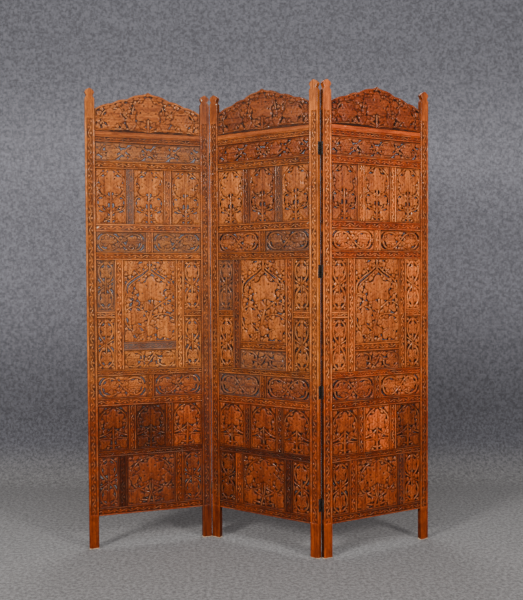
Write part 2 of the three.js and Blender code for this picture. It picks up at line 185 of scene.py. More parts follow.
@dataclass
class Drawing:
    """A carver's drawing of one board, in millimetres from its middle and foot.

    Attributes:
        width: Width of the board.
        height: Height of the board.
        pitch: Spacing of the points at which the surface is worked out.
        lines_x: Further places across the board that get a line of points.
        lines_z: Further places up the board that get a line of points.
        trench: Width of the cut that sets one carved thing off from the next.
    """

    width: float
    height: float
    pitch: float = 1.4
    lines_x: tuple[float, ...] = ()
    lines_z: tuple[float, ...] = ()
    trench: float = 2.8
    xs: np.ndarray = field(init=False)
    zs: np.ndarray = field(init=False)
    x: np.ndarray = field(init=False)
    z: np.ndarray = field(init=False)
    gap: np.ndarray = field(init=False)
    rise: np.ndarray = field(init=False)

    def __post_init__(self) -> None:
        """Lays out the points and starts with an empty board."""
        self.xs = self.ruled(-self.width / 2, self.width / 2, self.lines_x)
        self.zs = self.ruled(0.0, self.height, self.lines_z)
        self.x, self.z = np.meshgrid(self.xs, self.zs, indexing="ij")
        self.gap = np.full(self.x.shape, FAR)
        self.rise = np.zeros(self.x.shape)

    def ruled(self, low: float, high: float, extra: Iterable[float]) -> np.ndarray:
        """Spaces points evenly and adds a pair of lines at each extra place.

        Args:
            low: Where the points begin.
            high: Where they end.
            extra: Places that get a pair of lines, for a sharp step there.

        Returns:
            The places of the points, in order.
        """
        count = max(2, round((high - low) / self.pitch)) + 1
        even = np.linspace(low, high, count)
        for place in extra:
            even = even[np.abs(even - place) > 0.3 * self.pitch]
            even = np.append(even, [place - 0.03, place + 0.03])
        even = np.unique(np.clip(even, low, high))
        even[0], even[-1] = low, high
        return even

    def window(self, x0: float, x1: float, z0: float, z1: float) -> tuple[slice, slice]:
        """Finds the points inside a box, with one more all round.

        Args:
            x0: The box's left side.
            x1: Its right side.
            z0: Its foot.
            z1: Its head.

        Returns:
            The slices of points across and up.
        """
        i0, i1 = np.searchsorted(self.xs, [x0, x1])
        j0, j1 = np.searchsorted(self.zs, [z0, z1])
        return slice(max(i0 - 1, 0), i1 + 1), slice(max(j0 - 1, 0), j1 + 1)

    def lay(self, gap: np.ndarray, rise: np.ndarray, trench: Optional[float] = None) -> None:
        """Lays one carved thing over what is there, with a cut round it.

        Args:
            gap: Distance outside the thing's outline, negative inside.
            rise: The thing's height above the ground.
            trench: Width of the cut that sets it off from what lies under it.
        """
        near = eased(gap / (self.trench if trench is None else trench))
        self.rise = np.where(gap < 0, rise, self.rise * (0.35 + 0.65 * near))
        self.gap = np.minimum(self.gap, gap)

    def along(self, line: np.ndarray, half: np.ndarray) -> tuple[np.ndarray, np.ndarray]:
        """Measures every point from a line of changing half width.

        Args:
            line: The line's points.
            half: Half the width at each of them.

        Returns:
            The distance outside the line's edge, and the distance from its
            middle as a share of the half width.
        """
        gap = np.full(self.x.shape, FAR)
        across = np.full(self.x.shape, FAR)
        for a, b, ha, hb in zip(line[:-1], line[1:], half[:-1], half[1:]):
            room = max(ha, hb) + 7
            area = self.window(min(a[0], b[0]) - room, max(a[0], b[0]) + room,
                               min(a[1], b[1]) - room, max(a[1], b[1]) + room)
            x, z = self.x[area], self.z[area]
            run = b - a
            t = ((x - a[0]) * run[0] + (z - a[1]) * run[1]) / max(run @ run, 1e-9)
            t = np.clip(t, 0, 1)
            off = np.hypot(x - a[0] - t * run[0], z - a[1] - t * run[1])
            width = ha + (hb - ha) * t
            better = off - width < gap[area]
            gap[area] = np.where(better, off - width, gap[area])
            across[area] = np.where(better, off / width, across[area])
        return gap, across

    def stem(self, points: Sequence[Point], wide: float, end: Optional[float] = None,
             top: float = 2.6) -> None:
        """Carves a rounded stem along a smooth line.

        Args:
            points: Points that the stem passes through.
            wide: Width at its start.
            end: Width at its end, the same if left out.
            top: Height of its back over the ground.
        """
        line = flowing(points)
        half = np.linspace(wide, wide if end is None else end, len(line)) / 2
        gap, across = self.along(line, half)
        self.lay(gap, top * (0.5 + 0.5 * domed(across)))

    def both_stems(self, points: Sequence[Point], wide: float, end: float) -> None:
        """Carves a stem and its mirror image."""
        self.stem(points, wide, end)
        self.stem(mirrored(points), wide, end)

    def sprig(self, x: float, z: float, size: float, facing: float) -> None:
        """Carves a small leaf of three lobes."""
        self.leaf(x, z, size, facing=facing, lobes=3)

    def leaf(self, x: float, z: float, size: float, facing: float = 90.0, lobes: int = 5,
             top: float = 3.0, stretch: float = 1.0, dots: bool = False,
             teeth: float = 0.05) -> None:
        """Carves a domed leaf with veins.

        Args:
            x: Across, at the place where the veins meet.
            z: Up, at the same place.
            size: Length of the middle lobe.
            facing: Direction of the middle lobe, in degrees from the right.
            lobes: 1, 3, 5 or 7.
            top: Height of its middle.
            stretch: Longer along the middle lobe than across.
            dots: Whether drilled dots stand in the notches.
            teeth: Depth of the teeth along its edge, as a share of its size.
        """
        shape = LEAF_SHAPES[lobes]
        room = size * 1.4
        area = self.window(x - room, x + room, z - room, z + room)
        dx, dz = self.x[area] - x, self.z[area] - z
        f = math.radians(facing)
        ahead = (dx * math.cos(f) + dz * math.sin(f)) / stretch
        aside = -dx * math.sin(f) + dz * math.cos(f)
        r, turn = np.hypot(ahead, aside), np.arctan2(aside, ahead)
        tips = [math.radians(a) for a in shape.spread]
        notches = [(a + b) / 2 for a, b in zip(tips[:-1], tips[1:])]
        outline = self.leaf_outline(np.abs(turn), shape, tips, notches)
        outline = size * (outline + teeth * (np.abs(np.sin(turn * (lobes + 4))) - 0.5))
        share = r / np.maximum(outline, 1e-6)
        rise = top * (0.62 + 0.38 * domed(share))
        rise *= 0.7 + 0.3 * eased((outline - r) * 0.82 / 2.0)
        for tip in tips:
            for sign in (1, -1):
                c, s = math.cos(tip), math.sin(tip) * sign
                run = ahead * c + aside * s
                off = np.abs(-ahead * s + aside * c)
                vein = np.exp(-((off / (0.035 * size + 0.55)) ** 2)) * (run > 0)
                vein *= eased((outline * 0.98 - run) / (size * 0.2))
                rise -= (0.12 if tip == 0 else 0.2) * top * vein
        ribs = np.abs(np.sin(r / size * 13 + 2.5 * np.cos(turn * lobes)))
        rise -= 0.1 * top * ribs**2 * eased((share - 0.15) * 3)
        gouged = np.sin(self.x[area] * 0.43 + 3 * np.sin(self.z[area] * 0.19))
        rise -= 0.12 * top * eased(0.5 + 0.5 * gouged)
        gap = np.full(self.x.shape, FAR)
        whole = np.zeros(self.x.shape)
        gap[area], whole[area] = (r - outline) * 0.82, rise
        self.lay(gap, whole)
        if dots:
            self.leaf_dots(x, z, size, f, stretch, notches)

    @staticmethod
    def leaf_outline(turn: np.ndarray, shape: LeafShape, tips: Sequence[float],
                     notches: Sequence[float]) -> np.ndarray:
        """Works out how far a leaf reaches in each direction.

        Args:
            turn: Angle from the middle lobe, 0 to pi.
            shape: The leaf's proportions.
            tips: Angles of the lobes.
            notches: Angles of the notches.

        Returns:
            Reach as a share of the leaf's size.
        """
        knots = [(0.0, shape.length[0], True)]
        for i, notch in enumerate(notches):
            mean = (shape.length[i] + shape.length[i + 1]) / 2
            knots.append((notch, shape.valley * mean, False))
            knots.append((tips[i + 1], shape.length[i + 1], True))
        knots.append((math.pi, shape.heel, False))
        reach = np.zeros_like(turn)
        for (a, near, at_tip), (b, far, _) in zip(knots[:-1], knots[1:]):
            t = np.clip((turn - a) / (b - a), 0, 1)
            u = t if at_tip else 1 - t
            high, low = (near, far) if at_tip else (far, near)
            share = 0.7 * (1 - u) ** 1.15 + 0.3 * (0.5 + 0.5 * np.cos(np.pi * u))
            reach = np.where((turn >= a) & (turn <= b + 1e-9), low + (high - low) * share, reach)
        return reach

    def leaf_dots(self, x: float, z: float, size: float, facing: float, stretch: float,
                  notches: Sequence[float]) -> None:
        """Drills a dot below each notch of a leaf.

        Args:
            x: Across, at the place where the veins meet.
            z: Up, at the same place.
            size: Length of the middle lobe.
            facing: Direction of the middle lobe, in radians.
            stretch: Longer along the middle lobe than across.
            notches: Angles of the notches from the middle lobe.
        """
        for i, notch in enumerate(notches):
            for sign in (1, -1):
                reach = size * (0.52 - 0.06 * i)
                ahead = reach * math.cos(notch) * stretch
                aside = reach * math.sin(notch) * sign
                self.hole(x + ahead * math.cos(facing) - aside * math.sin(facing),
                          z + ahead * math.sin(facing) + aside * math.cos(facing),
                          max(1.6, size * 0.045))

    def berry(self, x: float, z: float, size: float, top: float = 2.6) -> None:
        """Carves a round berry."""
        r = np.hypot(self.x - x, self.z - z)
        self.lay(r - size, top * (0.5 + 0.5 * domed(r / size)))

    def hole(self, x: float, z: float, size: float) -> None:
        """Drills through the board.

        Args:
            x: The hole's middle across.
            z: Its middle up.
            size: Its radius.
        """
        r = np.hypot(self.x - x, self.z - z)
        self.gap = np.maximum(self.gap, size - r)
        self.rise *= 0.5 + 0.5 * eased((r - size) / 1.5)

    def from_edge(self) -> np.ndarray:
        """Gives every point's distance from the nearest edge of the board."""
        return np.minimum(self.width / 2 - np.abs(self.x), np.minimum(self.z, self.height - self.z))

    def edging(self, wide: float, top: float) -> None:
        """Leaves a plain margin all round."""
        self.lay(self.from_edge() - wide, np.full(self.x.shape, top), trench=1.5)

    def fill_in(self, widest: float) -> None:
        """Fills each wide opening with a small leaf that touches its neighbours.

        Args:
            widest: Half the width of the openings that may stay.
        """
        inset = self.from_edge()
        for _ in range(90):
            room = np.where(inset > 3, np.minimum(self.gap, 40.0), 0.0)
            i, j = np.unravel_index(np.argmax(room), room.shape)
            if room[i, j] < widest:
                break
            x, z = float(self.x[i, j]), float(self.z[i, j])
            turn = math.degrees(math.atan2(z - self.height / 2, x)) + 35 * math.sin(x * 0.31 + z * 0.17)
            self.leaf(x, z, room[i, j] * 1.25 + 0.8, facing=turn, lobes=3, teeth=0.02)

    def shoulder(self, wide: float, rise: float = 0.25) -> None:
        """Leaves a low ledge of ground round everything and saws out the rest."""
        self.rise = np.where(self.gap > 0, rise, self.rise)
        self.gap = self.gap - wide

    def pierced(self, ledge: float, margin: float = 5.0, widest: float = 5.2) -> "Drawing":
        """Gives a panel its margin, fills its wide openings and saws out the rest.

        Args:
            ledge: Width of the ledge of ground that stays round everything.
            margin: Width of the plain margin.
            widest: Half the width of the openings that may stay.

        Returns:
            This drawing, finished.
        """
        self.edging(margin, 1.6)
        self.fill_in(widest)
        self.shoulder(ledge)
        return self

    def solid(self) -> None:
        """Leaves all the ground in."""
        self.rise = np.where(self.gap > 0, 0.0, self.rise)
        self.gap = np.full(self.x.shape, DEEP_INSIDE)

    def cut_to(self, outside: np.ndarray) -> None:
        """Saws the board to an outline, given as the distance outside it."""
        self.gap = np.maximum(self.gap, outside)

    def eased_edges(self, wide: float, drop: float) -> None:
        """Rubs down the long outer edges of the board."""
        self.rise -= drop * (1 - domed(1 - np.clip(self.from_edge() / wide, 0, 1)))

    def read(self, values: np.ndarray, x: np.ndarray, z: np.ndarray) -> np.ndarray:
        """Reads a map of the drawing at places that lie between its points.

        Args:
            values: The map, one value for each point of the drawing.
            x: The places across.
            z: The places up.

        Returns:
            The value at each place.
        """
        i = np.interp(x, self.xs, np.arange(len(self.xs)))
        j = np.interp(z, self.zs, np.arange(len(self.zs)))
        i0 = np.minimum(i.astype(int), len(self.xs) - 2)
        j0 = np.minimum(j.astype(int), len(self.zs) - 2)
        fi, fj = i - i0, j - j0
        return ((values[i0, j0] * (1 - fi) + values[i0 + 1, j0] * fi) * (1 - fj)
                + (values[i0, j0 + 1] * (1 - fi) + values[i0 + 1, j0 + 1] * fi) * fj)


def blurred(values: np.ndarray, steps: int) -> np.ndarray:
    """Smooths a surface by averaging each point with its neighbours.

    Args:
        values: Heights.
        steps: How many points away the averaging reaches.

    Returns:
        The smoothed heights.
    """
    result = values
    for _ in range(2):
        for axis in (0, 1):
            pad = [(0, 0), (0, 0)]
            pad[axis] = (steps + 1, steps)
            total = np.cumsum(np.pad(result, pad, mode="edge"), axis=axis)
            width = 2 * steps + 1
            size = result.shape[axis]
            head = np.take(total, np.arange(width, width + size), axis=axis)
            tail = np.take(total, np.arange(0, size), axis=axis)
            result = (head - tail) / width
    return result


# --- Designs of the boards


def upper_vine(width: float, height: float) -> Drawing:
    """An upright vine: a large leaf in a wreath over two smaller ones.

    Args:
        width: Width of the board.
        height: Its height.

    Returns:
        The drawing.
    """
    d = Drawing(width, height)
    wreath = [(0, 82), (-20, 100), (-42, 116), (-53, 138), (-54, 165), (-46, 186), (-28, 202), (-12, 216)]
    d.both_stems(wreath, 7.5, 5.5)
    for s in (1, -1):
        d.sprig(s * 46, 204, 22, 90 - s * 52)
        d.sprig(s * 53, 118, 15, 90 - s * 60)
        d.sprig(s * 53, 56, 13, 90 - s * 80)
        d.sprig(s * 22, 118, 12, 90 + s * 10)
        d.stem([(0, 38), (s * 16, 48), (s * 36, 54), (s * 52, 66), (s * 57, 86), (s * 50, 104),
                (s * 34, 111), (s * 20, 104)], 5, 3.6)
        d.leaf(s * 30, 81, 26, facing=90 + s * 10)
        d.leaf(s * 34, 24, 31, facing=90 - s * 45, lobes=3, teeth=0.0)
        d.stem([(0, 14), (s * 8, 17), (s * 22, 20)], 5, 4)
        d.stem([(s * 8, 44), (s * 18, 56), (s * 28, 66)], 4.4, 3)
    d.stem([(0, 0), (0, 30), (0, 60), (0, 86), (0, 112), (0, 132)], 8, 5)
    d.leaf(0, 150, 59, dots=True, stretch=1.08)
    return d.pierced(2.0, widest=5.0)


def lying_scroll(width: float, height: float) -> Drawing:
    """Two loops of one stem that cross in the middle, a leaf in each.

    Args:
        width: Width of the board.
        height: Its height.

    Returns:
        The drawing.
    """
    d = Drawing(width, height)
    c, k = height / 2, height / 82
    right = [(8, c + 3), (24, c + 24 * k), (50, c + 33 * k), (76, c + 24 * k), (84, c),
             (74, c - 24 * k), (48, c - 32 * k), (24, c - 22 * k)]
    left = [(-22, c + 22 * k), (-48, c + 32 * k), (-74, c + 24 * k), (-84, c),
            (-76, c - 24 * k), (-50, c - 33 * k), (-24, c - 24 * k), (-8, c - 3)]
    d.stem([*right, (0, c), *left], 6.6, 6)
    d.stem([(-26, c - 40 * k), (-14, c - 20 * k), (0, c), (14, c + 20 * k), (26, c + 40 * k)], 5)
    for s in (1, -1):
        d.leaf(s * 49, c, 34 * k, facing=90 - s * 18, dots=True, stretch=0.84)
        d.stem([(s * 49, c - s * 12), (s * 47, c - s * 32 * k)], 4.5)
        for q in (1, -1):
            d.sprig(s * 91, c + q * 32 * k, 17, (0 if s > 0 else 180) + q * s * 45)
            d.leaf(s * 4 + q * 7, c + s * 33 * k, 12, facing=s * 90, lobes=1)
        d.sprig(s * 16, c + s * 10 * k, 10, 0 if s > 0 else 180)
        d.sprig(s * 90, c, 9, 0 if s > 0 else 180)
    return d.pierced(2.2)


def small_lying(width: float, height: float) -> Drawing:
    """Two leaves in hooked stems on either side of a slanting one.

    Args:
        width: Width of the board.
        height: Its height.

    Returns:
        The drawing.
    """
    d = Drawing(width, height)
    d.stem([(-30, 0), (-20, 14), (-4, 32), (8, 50), (20, 64), (30, 77)], 7, 5)
    d.stem([(-14, 22), (-30, 36), (-34, 56), (-56, 68), (-86, 64), (-97, 42), (-92, 18),
            (-66, 9), (-44, 14)], 6, 5)
    d.stem([(14, 56), (30, 42), (34, 20), (56, 9), (86, 12), (97, 34), (92, 58), (66, 68),
            (44, 62)], 6, 5)
    d.leaf(-64, 38, 35, facing=165, dots=True, stretch=1.05)
    d.leaf(64, 39, 35, facing=-15, dots=True, stretch=1.05)
    d.sprig(8, 19, 17, -60)
    d.sprig(-8, 58, 17, 120)
    for x, z, turn in ((-97, 70, 135), (-97, 7, 225), (97, 70, 45), (97, 7, -45)):
        d.leaf(x, z, 12, facing=turn, lobes=1)
    d.stem([(-50, 38), (-30, 36)], 6)
    d.stem([(50, 39), (30, 42)], 6)
    return d.pierced(2.2)


def narrow_scroll(width: float, height: float) -> Drawing:
    """An upright figure of eight with a leaf in each loop.

    Args:
        width: Width of the board.
        height: Its height.

    Returns:
        The drawing.
    """
    d = Drawing(width, height)
    c, a, q = height / 2, width / 2 - 9, height / 4
    lower = [(-3, c - 8), (-a * 0.75, c - q * 0.55), (-a, c - q), (-a * 0.8, c - q * 1.5),
             (0, c - q * 1.82), (a * 0.8, c - q * 1.5), (a, c - q), (a * 0.75, c - q * 0.55)]
    upper = [(-a * 0.75, c + q * 0.55), (-a, c + q), (-a * 0.8, c + q * 1.5),
             (0, c + q * 1.82), (a * 0.8, c + q * 1.5), (a, c + q), (a * 0.75, c + q * 0.55), (3, c + 8)]
    d.stem([*lower, (0, c), *upper], 6.4, 6)
    d.stem([(3, c + 8), (-3, c - 8)], 5)
    d.stem([(-a - 9, c - q * 0.42), (0, c), (a + 9, c + q * 0.42)], 4.4)
    for s in (1, -1):
        up = 90 * s
        d.stem([(0, c + s * q * 0.85), (0, c + s * q * 0.02)], 5.4)
        d.leaf(0, c + s * q * 0.95, a * 1.0, facing=up, dots=True, stretch=1.36)
        d.leaf(0, c + s * q * 1.7, 8, facing=up, lobes=1)
        d.sprig(-s * (width / 2 - 5), c + s * q * 0.12, 13, 180 if s > 0 else 0)
        d.sprig(s * (width / 2 - 6), c - s * q * 0.14, 13, 0 if s > 0 else 180)
        d.leaf(s * 11, c + s * q * 0.36, 8, facing=up, lobes=1)
        for k in (1, -1):
            d.leaf(k * (width / 2 - 4), c + s * (height / 2 - 5), 19,
                   facing=(45 if k > 0 else 135) * s, lobes=3)
    d.stem([(-width / 2, c + q * 1.62), (-a * 0.8, c + q * 1.5)], 5)
    d.stem([(width / 2, c - q * 1.62), (a * 0.8, c - q * 1.5)], 5)
    return d.pierced(2.6)


def tree(width: float, height: float) -> Drawing:
    """A leaning trunk with three great leaves under a pointed arch of two stems.

    Args:
        width: Width of the board.
        height: Its height.

    Returns:
        The drawing.
    """
    d = Drawing(width, height, pitch=1.5)
    outer = [(94, 190), (97, 212), (90, 238), (60, 262), (30, 280), (8, 298)]
    inner = [(82, 196), (85, 212), (78, 230), (52, 250), (26, 268), (4, 286)]
    d.both_stems(outer, 6, 5)
    d.both_stems(inner, 6, 5)
    for s in (1, -1):
        d.leaf(s * 72, 300, 40, facing=90 - s * 40, dots=True, teeth=0.03)
        d.sprig(s * 18, 318, 13, 90 - s * 20)
        d.sprig(s * 36, 306, 14, 90 + s * 30)
        d.sprig(s * 99, 254, 14, 90 - s * 40)
        d.stem([(s * 44, 276), (s * 56, 290)], 5)
        d.stem([(s * 84, 243), (s * 97, 252)], 4.5)
        d.stem([(s * 26, 283), (s * 34, 298)], 4.4)
        d.stem([(s * 8, 300), (s * 14, 312)], 4.4)
    d.stem([(0, 286), (0, 331)], 6)
    d.stem([(6, 128), (34, 148), (66, 168), (88, 184), (94, 200)], 8, 5.5)
    d.stem([(56, 160), (74, 160), (96, 150), (106, 140)], 5, 4)
    d.stem([(-4, 92), (-20, 118), (-44, 140), (-74, 142), (-96, 124), (-100, 96), (-90, 66),
            (-74, 50)], 7, 5)
    d.stem([(-96, 122), (-99, 150), (-94, 190)], 6, 5)
    d.stem([(-106, 172), (-96, 168)], 6)
    d.stem([(4, 118), (-18, 138), (-26, 152)], 6, 4.5)
    d.stem([(-2, 84), (14, 104), (42, 112), (72, 110), (98, 96), (106, 90)], 6, 4.5)
    d.stem([(70, 140), (66, 162)], 5)
    sprigs = ((-58, 152, 17, 120), (-84, 164, 15, 100), (40, 130, 17, 20), (74, 132, 23, 60),
              (82, 226, 13, 40), (88, 206, 14, 10), (62, 244, 13, 60), (-72, 214, 15, 180),
              (-76, 190, 15, 200), (-28, 158, 12, 110), (80, 180, 13, -20), (-46, 236, 11, 150))
    for x, z, size, turn in sprigs:
        d.sprig(x, z, size, turn)
    d.stem([(70, 206), (96, 204)], 4.5)
    d.stem([(-62, 190), (-94, 194)], 4.5)
    d.stem([(-21, 0), (-20, 20), (-15, 48), (-4, 84), (4, 112), (10, 136), (9, 168)], 13, 8)
    d.leaf(6, 198, 78, facing=92, dots=True, stretch=0.9)
    d.stem([(-14, 44), (-34, 40), (-60, 34), (-84, 28)], 6, 5)
    d.sprig(-80, 24, 31, 200)
    for x, z in ((-48, 18), (-40, 26), (-38, 13), (-54, 27), (-30, 20), (-46, 8)):
        d.berry(x, z, 5.4)
    d.leaf(-57, 96, 47, facing=100, dots=True)
    d.stem([(-16, 46), (-34, 60), (-52, 72), (-56, 90)], 5.5, 4.5)
    d.leaf(52, 54, 58, facing=8, dots=True)
    d.stem([(-12, 30), (8, 34), (34, 46), (50, 54)], 7, 5)
    d.sprig(12, 12, 17, 300)
    d.leaf(96, 8, 13, facing=-45, lobes=1)
    d.sprig(14, 76, 16, 110)
    return d.pierced(2.1)


def frieze(width: float, height: float) -> Drawing:
    """A running scroll over and under four ringed leaves.

    Args:
        width: Width of the board.
        height: Its height.

    Returns:
        The drawing.
    """
    d = Drawing(width, height)
    c = height / 2
    wave = [(float(x), c + 27 * math.sin(math.pi * (x + 100) / 100))
            for x in np.linspace(-width / 2, width / 2, 17)]
    d.stem(wave, 6, 6)
    for i, x in enumerate((-150, -48, 50, 152)):
        s = 1 if i % 2 == 0 else -1
        ring = [(x + s * 36 * math.cos(t), c + 29 * math.sin(t))
                for t in np.linspace(0.4, 2 * math.pi - 0.4, 12)]
        d.stem(ring, 4.6, 4)
        d.leaf(x, c + 1 - 2 * (i % 2), 34, facing=90 - s * 82, dots=True, stretch=1.15)
        d.stem([(x - 38 * s, c), (x - 14 * s, c)], 5)
    for i, x in enumerate((-204, -100, 1, 101, 204)):
        for q in (1, -1):
            d.sprig(x, c + q * 25, 17, 90 * q)
        d.sprig(x, c, 13, 180 * (i % 2))
    for i, x in enumerate((-176, -126, -74, -24, 26, 76, 126, 178)):
        d.leaf(x, c + (28 if i % 2 else -28), 10, facing=90 if i % 2 else 270, lobes=1)
    return d.pierced(2.0, widest=5.0)


def wreathed_leaf(width: float, height: float) -> Drawing:
    """A broad leaf in an oval wreath over crossing stems and two corner leaves.

    Args:
        width: Width of the board.
        height: Its height.

    Returns:
        The drawing.
    """
    d = Drawing(width, height)
    side = [(-2, 40), (-26, 62), (-46, 82), (-54, 108), (-50, 136), (-34, 156), (-12, 170)]
    d.both_stems(side, 6.5, 4.6)
    for s in (1, -1):
        d.stem([(s * 57, 58), (s * 40, 62), (s * 20, 72), (0, 88)], 5.5, 5)
        d.sprig(s * 48, 164, 19, 90 - s * 50)
        d.leaf(s * 32, 24, 30, facing=90 - s * 40, lobes=3, teeth=0.02)
        d.stem([(0, 16), (s * 20, 20)], 6)
        d.leaf(s * 52, 74, 11, facing=90 - s * 70, lobes=1)
        d.stem([(0, 44), (s * 24, 50), (s * 56, 46)], 4.6, 4)
    d.stem([(0, 0), (0, 30), (0, 110)], 8, 6)
    d.leaf(0, 114, 53, dots=True, stretch=1.04, teeth=0.03)
    return d.pierced(3.2)


def broad_wreath(width: float, height: float) -> Drawing:
    """A seven-lobed leaf in a round wreath set with small leaves.

    Args:
        width: Width of the board.
        height: Its height.

    Returns:
        The drawing.
    """
    d = Drawing(width, height, pitch=1.5)
    side = [(-6, 44), (-34, 58), (-66, 76), (-80, 104), (-78, 138), (-60, 168), (-34, 184), (-6, 192)]
    d.both_stems(side, 7, 5)
    for s in (1, -1):
        for x, z, turn in ((84, 168, 50), (90, 132, 10), (92, 98, -20), (62, 192, 60), (26, 198, 80)):
            d.sprig(s * x, z, 18, turn if s > 0 else 180 - turn)
        d.stem([(s * 97, 60), (s * 70, 62), (s * 40, 68), (s * 14, 80), (0, 92)], 6.5, 5)
        d.leaf(s * 60, 30, 43, facing=90 - s * 50, teeth=0.03)
        d.stem([(0, 14), (s * 24, 18), (s * 46, 22)], 6, 5)
        d.sprig(s * 90, 80, 13, 90 - s * 70)
        d.sprig(s * 20, 36, 13, 90 - s * 20)
        d.sprig(s * 44, 84, 13, 90 + s * 30)
        d.stem([(s * 34, 184), (s * 40, 203)], 4.5)
        d.stem([(s * 80, 120), (s * 97, 116)], 4.5)
    d.stem([(-14, 0), (-8, 26), (4, 60), (6, 96)], 8, 7)
    d.stem([(10, 0), (6, 30), (-6, 62), (-4, 96)], 6, 5)
    d.leaf(0, 126, 76, lobes=7, dots=True, teeth=0.03, stretch=0.88)
    return d.pierced(3.2, margin=6.0)


@dataclass
class CrestOutline:
    """The scalloped top edge of the crest, in millimetres.

    Attributes:
        apex: Height of the point in the middle.
        cusps: Distance from the middle and height of each meeting of scallops.
        swell: How far each scallop swells above the straight line.
        tip_hollow: How far the edge sinks beside the point.
    """

    apex: float = 164.0
    cusps: tuple[Point, ...] = ((24, 153), (85, 132), (145, 113), (212, 88))
    swell: float = 5.0
    tip_hollow: float = 2.0

    def line(self) -> tuple[list[float], list[float]]:
        """Draws the edge from the middle to one side.

        Returns:
            Its distances from the middle, and its heights.
        """
        x0, z0 = self.cusps[0]
        xs, zs = [0.0, x0 / 2, x0], [self.apex, (self.apex + z0) / 2 - self.tip_hollow, z0]
        for (xa, za), (xb, zb) in zip(self.cusps[:-1], self.cusps[1:]):
            for t in np.linspace(0, 1, 9)[1:]:
                xs.append(xa + (xb - xa) * t)
                zs.append(za + (zb - za) * t + self.swell * math.sin(math.pi * t))
        return xs, zs


def crest(width: float, height: float) -> Drawing:
    """Three leaves among sprays of stems under a double scalloped bead.

    Args:
        width: Width of the board.
        height: Its height.

    Returns:
        The drawing.
    """
    d = Drawing(width, height, pitch=1.5)
    under = d.z - np.interp(np.abs(d.x), *CrestOutline(apex=height).line())
    d.both_stems([(0, 6), (18, 20), (50, 36), (88, 62), (104, 84), (98, 104), (80, 112), (66, 100)], 8, 5)
    d.both_stems([(0, 2), (22, 10), (70, 14), (120, 12), (170, 10), (205, 6)], 6, 5)
    d.both_stems([(100, 78), (124, 92), (150, 92), (176, 76), (184, 52), (176, 30)], 6.5, 5)
    d.both_stems([(58, 40), (56, 60), (62, 84), (54, 108), (34, 128)], 6.5, 5)
    sprigs = ((192, 70, 30), (196, 44, 0), (196, 20, -20), (162, 96, 60), (116, 108, 70), (70, 126, 70),
              (96, 24, -30), (90, 74, 40), (26, 136, 90), (60, 62, 40), (20, 32, 60), (78, 50, -10),
              (172, 22, -60), (138, 100, 80), (46, 136, 80), (40, 22, -20))
    for s in (1, -1):
        d.leaf(s * 84, 98, 19, facing=90 - s * 30)
        d.leaf(s * 134, 50, 54, facing=90 - s * 30, dots=True)
        d.stem([(s * 100, 16), (s * 116, 34)], 5)
        d.leaf(s * 62, 26, 24, facing=90 - s * 60, lobes=3, stretch=1.2)
        d.sprig(s * 50, 116, 12, 90 - s * 10)
        for x, z, turn in sprigs:
            d.sprig(s * x, z, 14, turn if s > 0 else 180 - turn)
        d.stem([(s * 116, 105), (s * 100, 86)], 4)
        d.stem([(s * 205, 58), (s * 184, 52)], 4)
    d.stem([(0, 0), (0, 20), (0, 50)], 9, 7)
    d.leaf(0, 80, 68, dots=True, stretch=0.96)
    d.lay(np.abs(under + 4) - 4, np.full(d.x.shape, 2.4), trench=1.5)
    d.lay(d.z - 3, np.full(d.x.shape, 1.8), trench=1.5)
    d.lay(np.abs(np.abs(d.x) - 210) - 3, np.full(d.x.shape, 1.8), trench=1.5)
    d.rise -= 0.9 * groove(under + 4.2, 0.9)
    d.cut_to(under)
    d.fill_in(5.2)
    d.shoulder(3.2)
    d.cut_to(under)
    return d


def vine_band(d: Drawing, start: float, end: float, centre: float, half: float,
              upright: bool, bay: float = 23.0) -> None:
    """Engraves a winding stem with a leaf in each bend.

    Args:
        d: The drawing to engrave on.
        start: Where the band begins along its run.
        end: Where it ends.
        centre: The middle of the band across its run.
        half: Half the band's width.
        upright: Whether the run goes up the board.
        bay: Length of one bend.
    """
    count = max(2, round((end - start) / bay))
    bay = (end - start) / count
    swing = half * 0.42

    def placed(run: float, across: float) -> Point:
        """Turns a place along the band into one on the board."""
        return (centre + across, run) if upright else (run, centre + across)

    line = [placed(start + (end - start) * t, swing * math.sin(math.pi * count * t))
            for t in np.linspace(0, 1, count * 4 + 1)]
    bends = np.asarray(line)
    gap, across = d.along(bends, np.full(len(bends), 1.35))
    d.lay(gap, 1.0 + 0.5 * domed(across), trench=1.0)
    for i in range(count):
        side = 1 if i % 2 == 0 else -1
        x, z = placed(start + bay * (i + 0.5), -side * half * 0.3)
        ahead = (90 if upright else 0) + (side * 38 if upright else -side * 38)
        d.leaf(x, z, half * 0.56, facing=ahead, lobes=3, top=1.6, teeth=0.0)


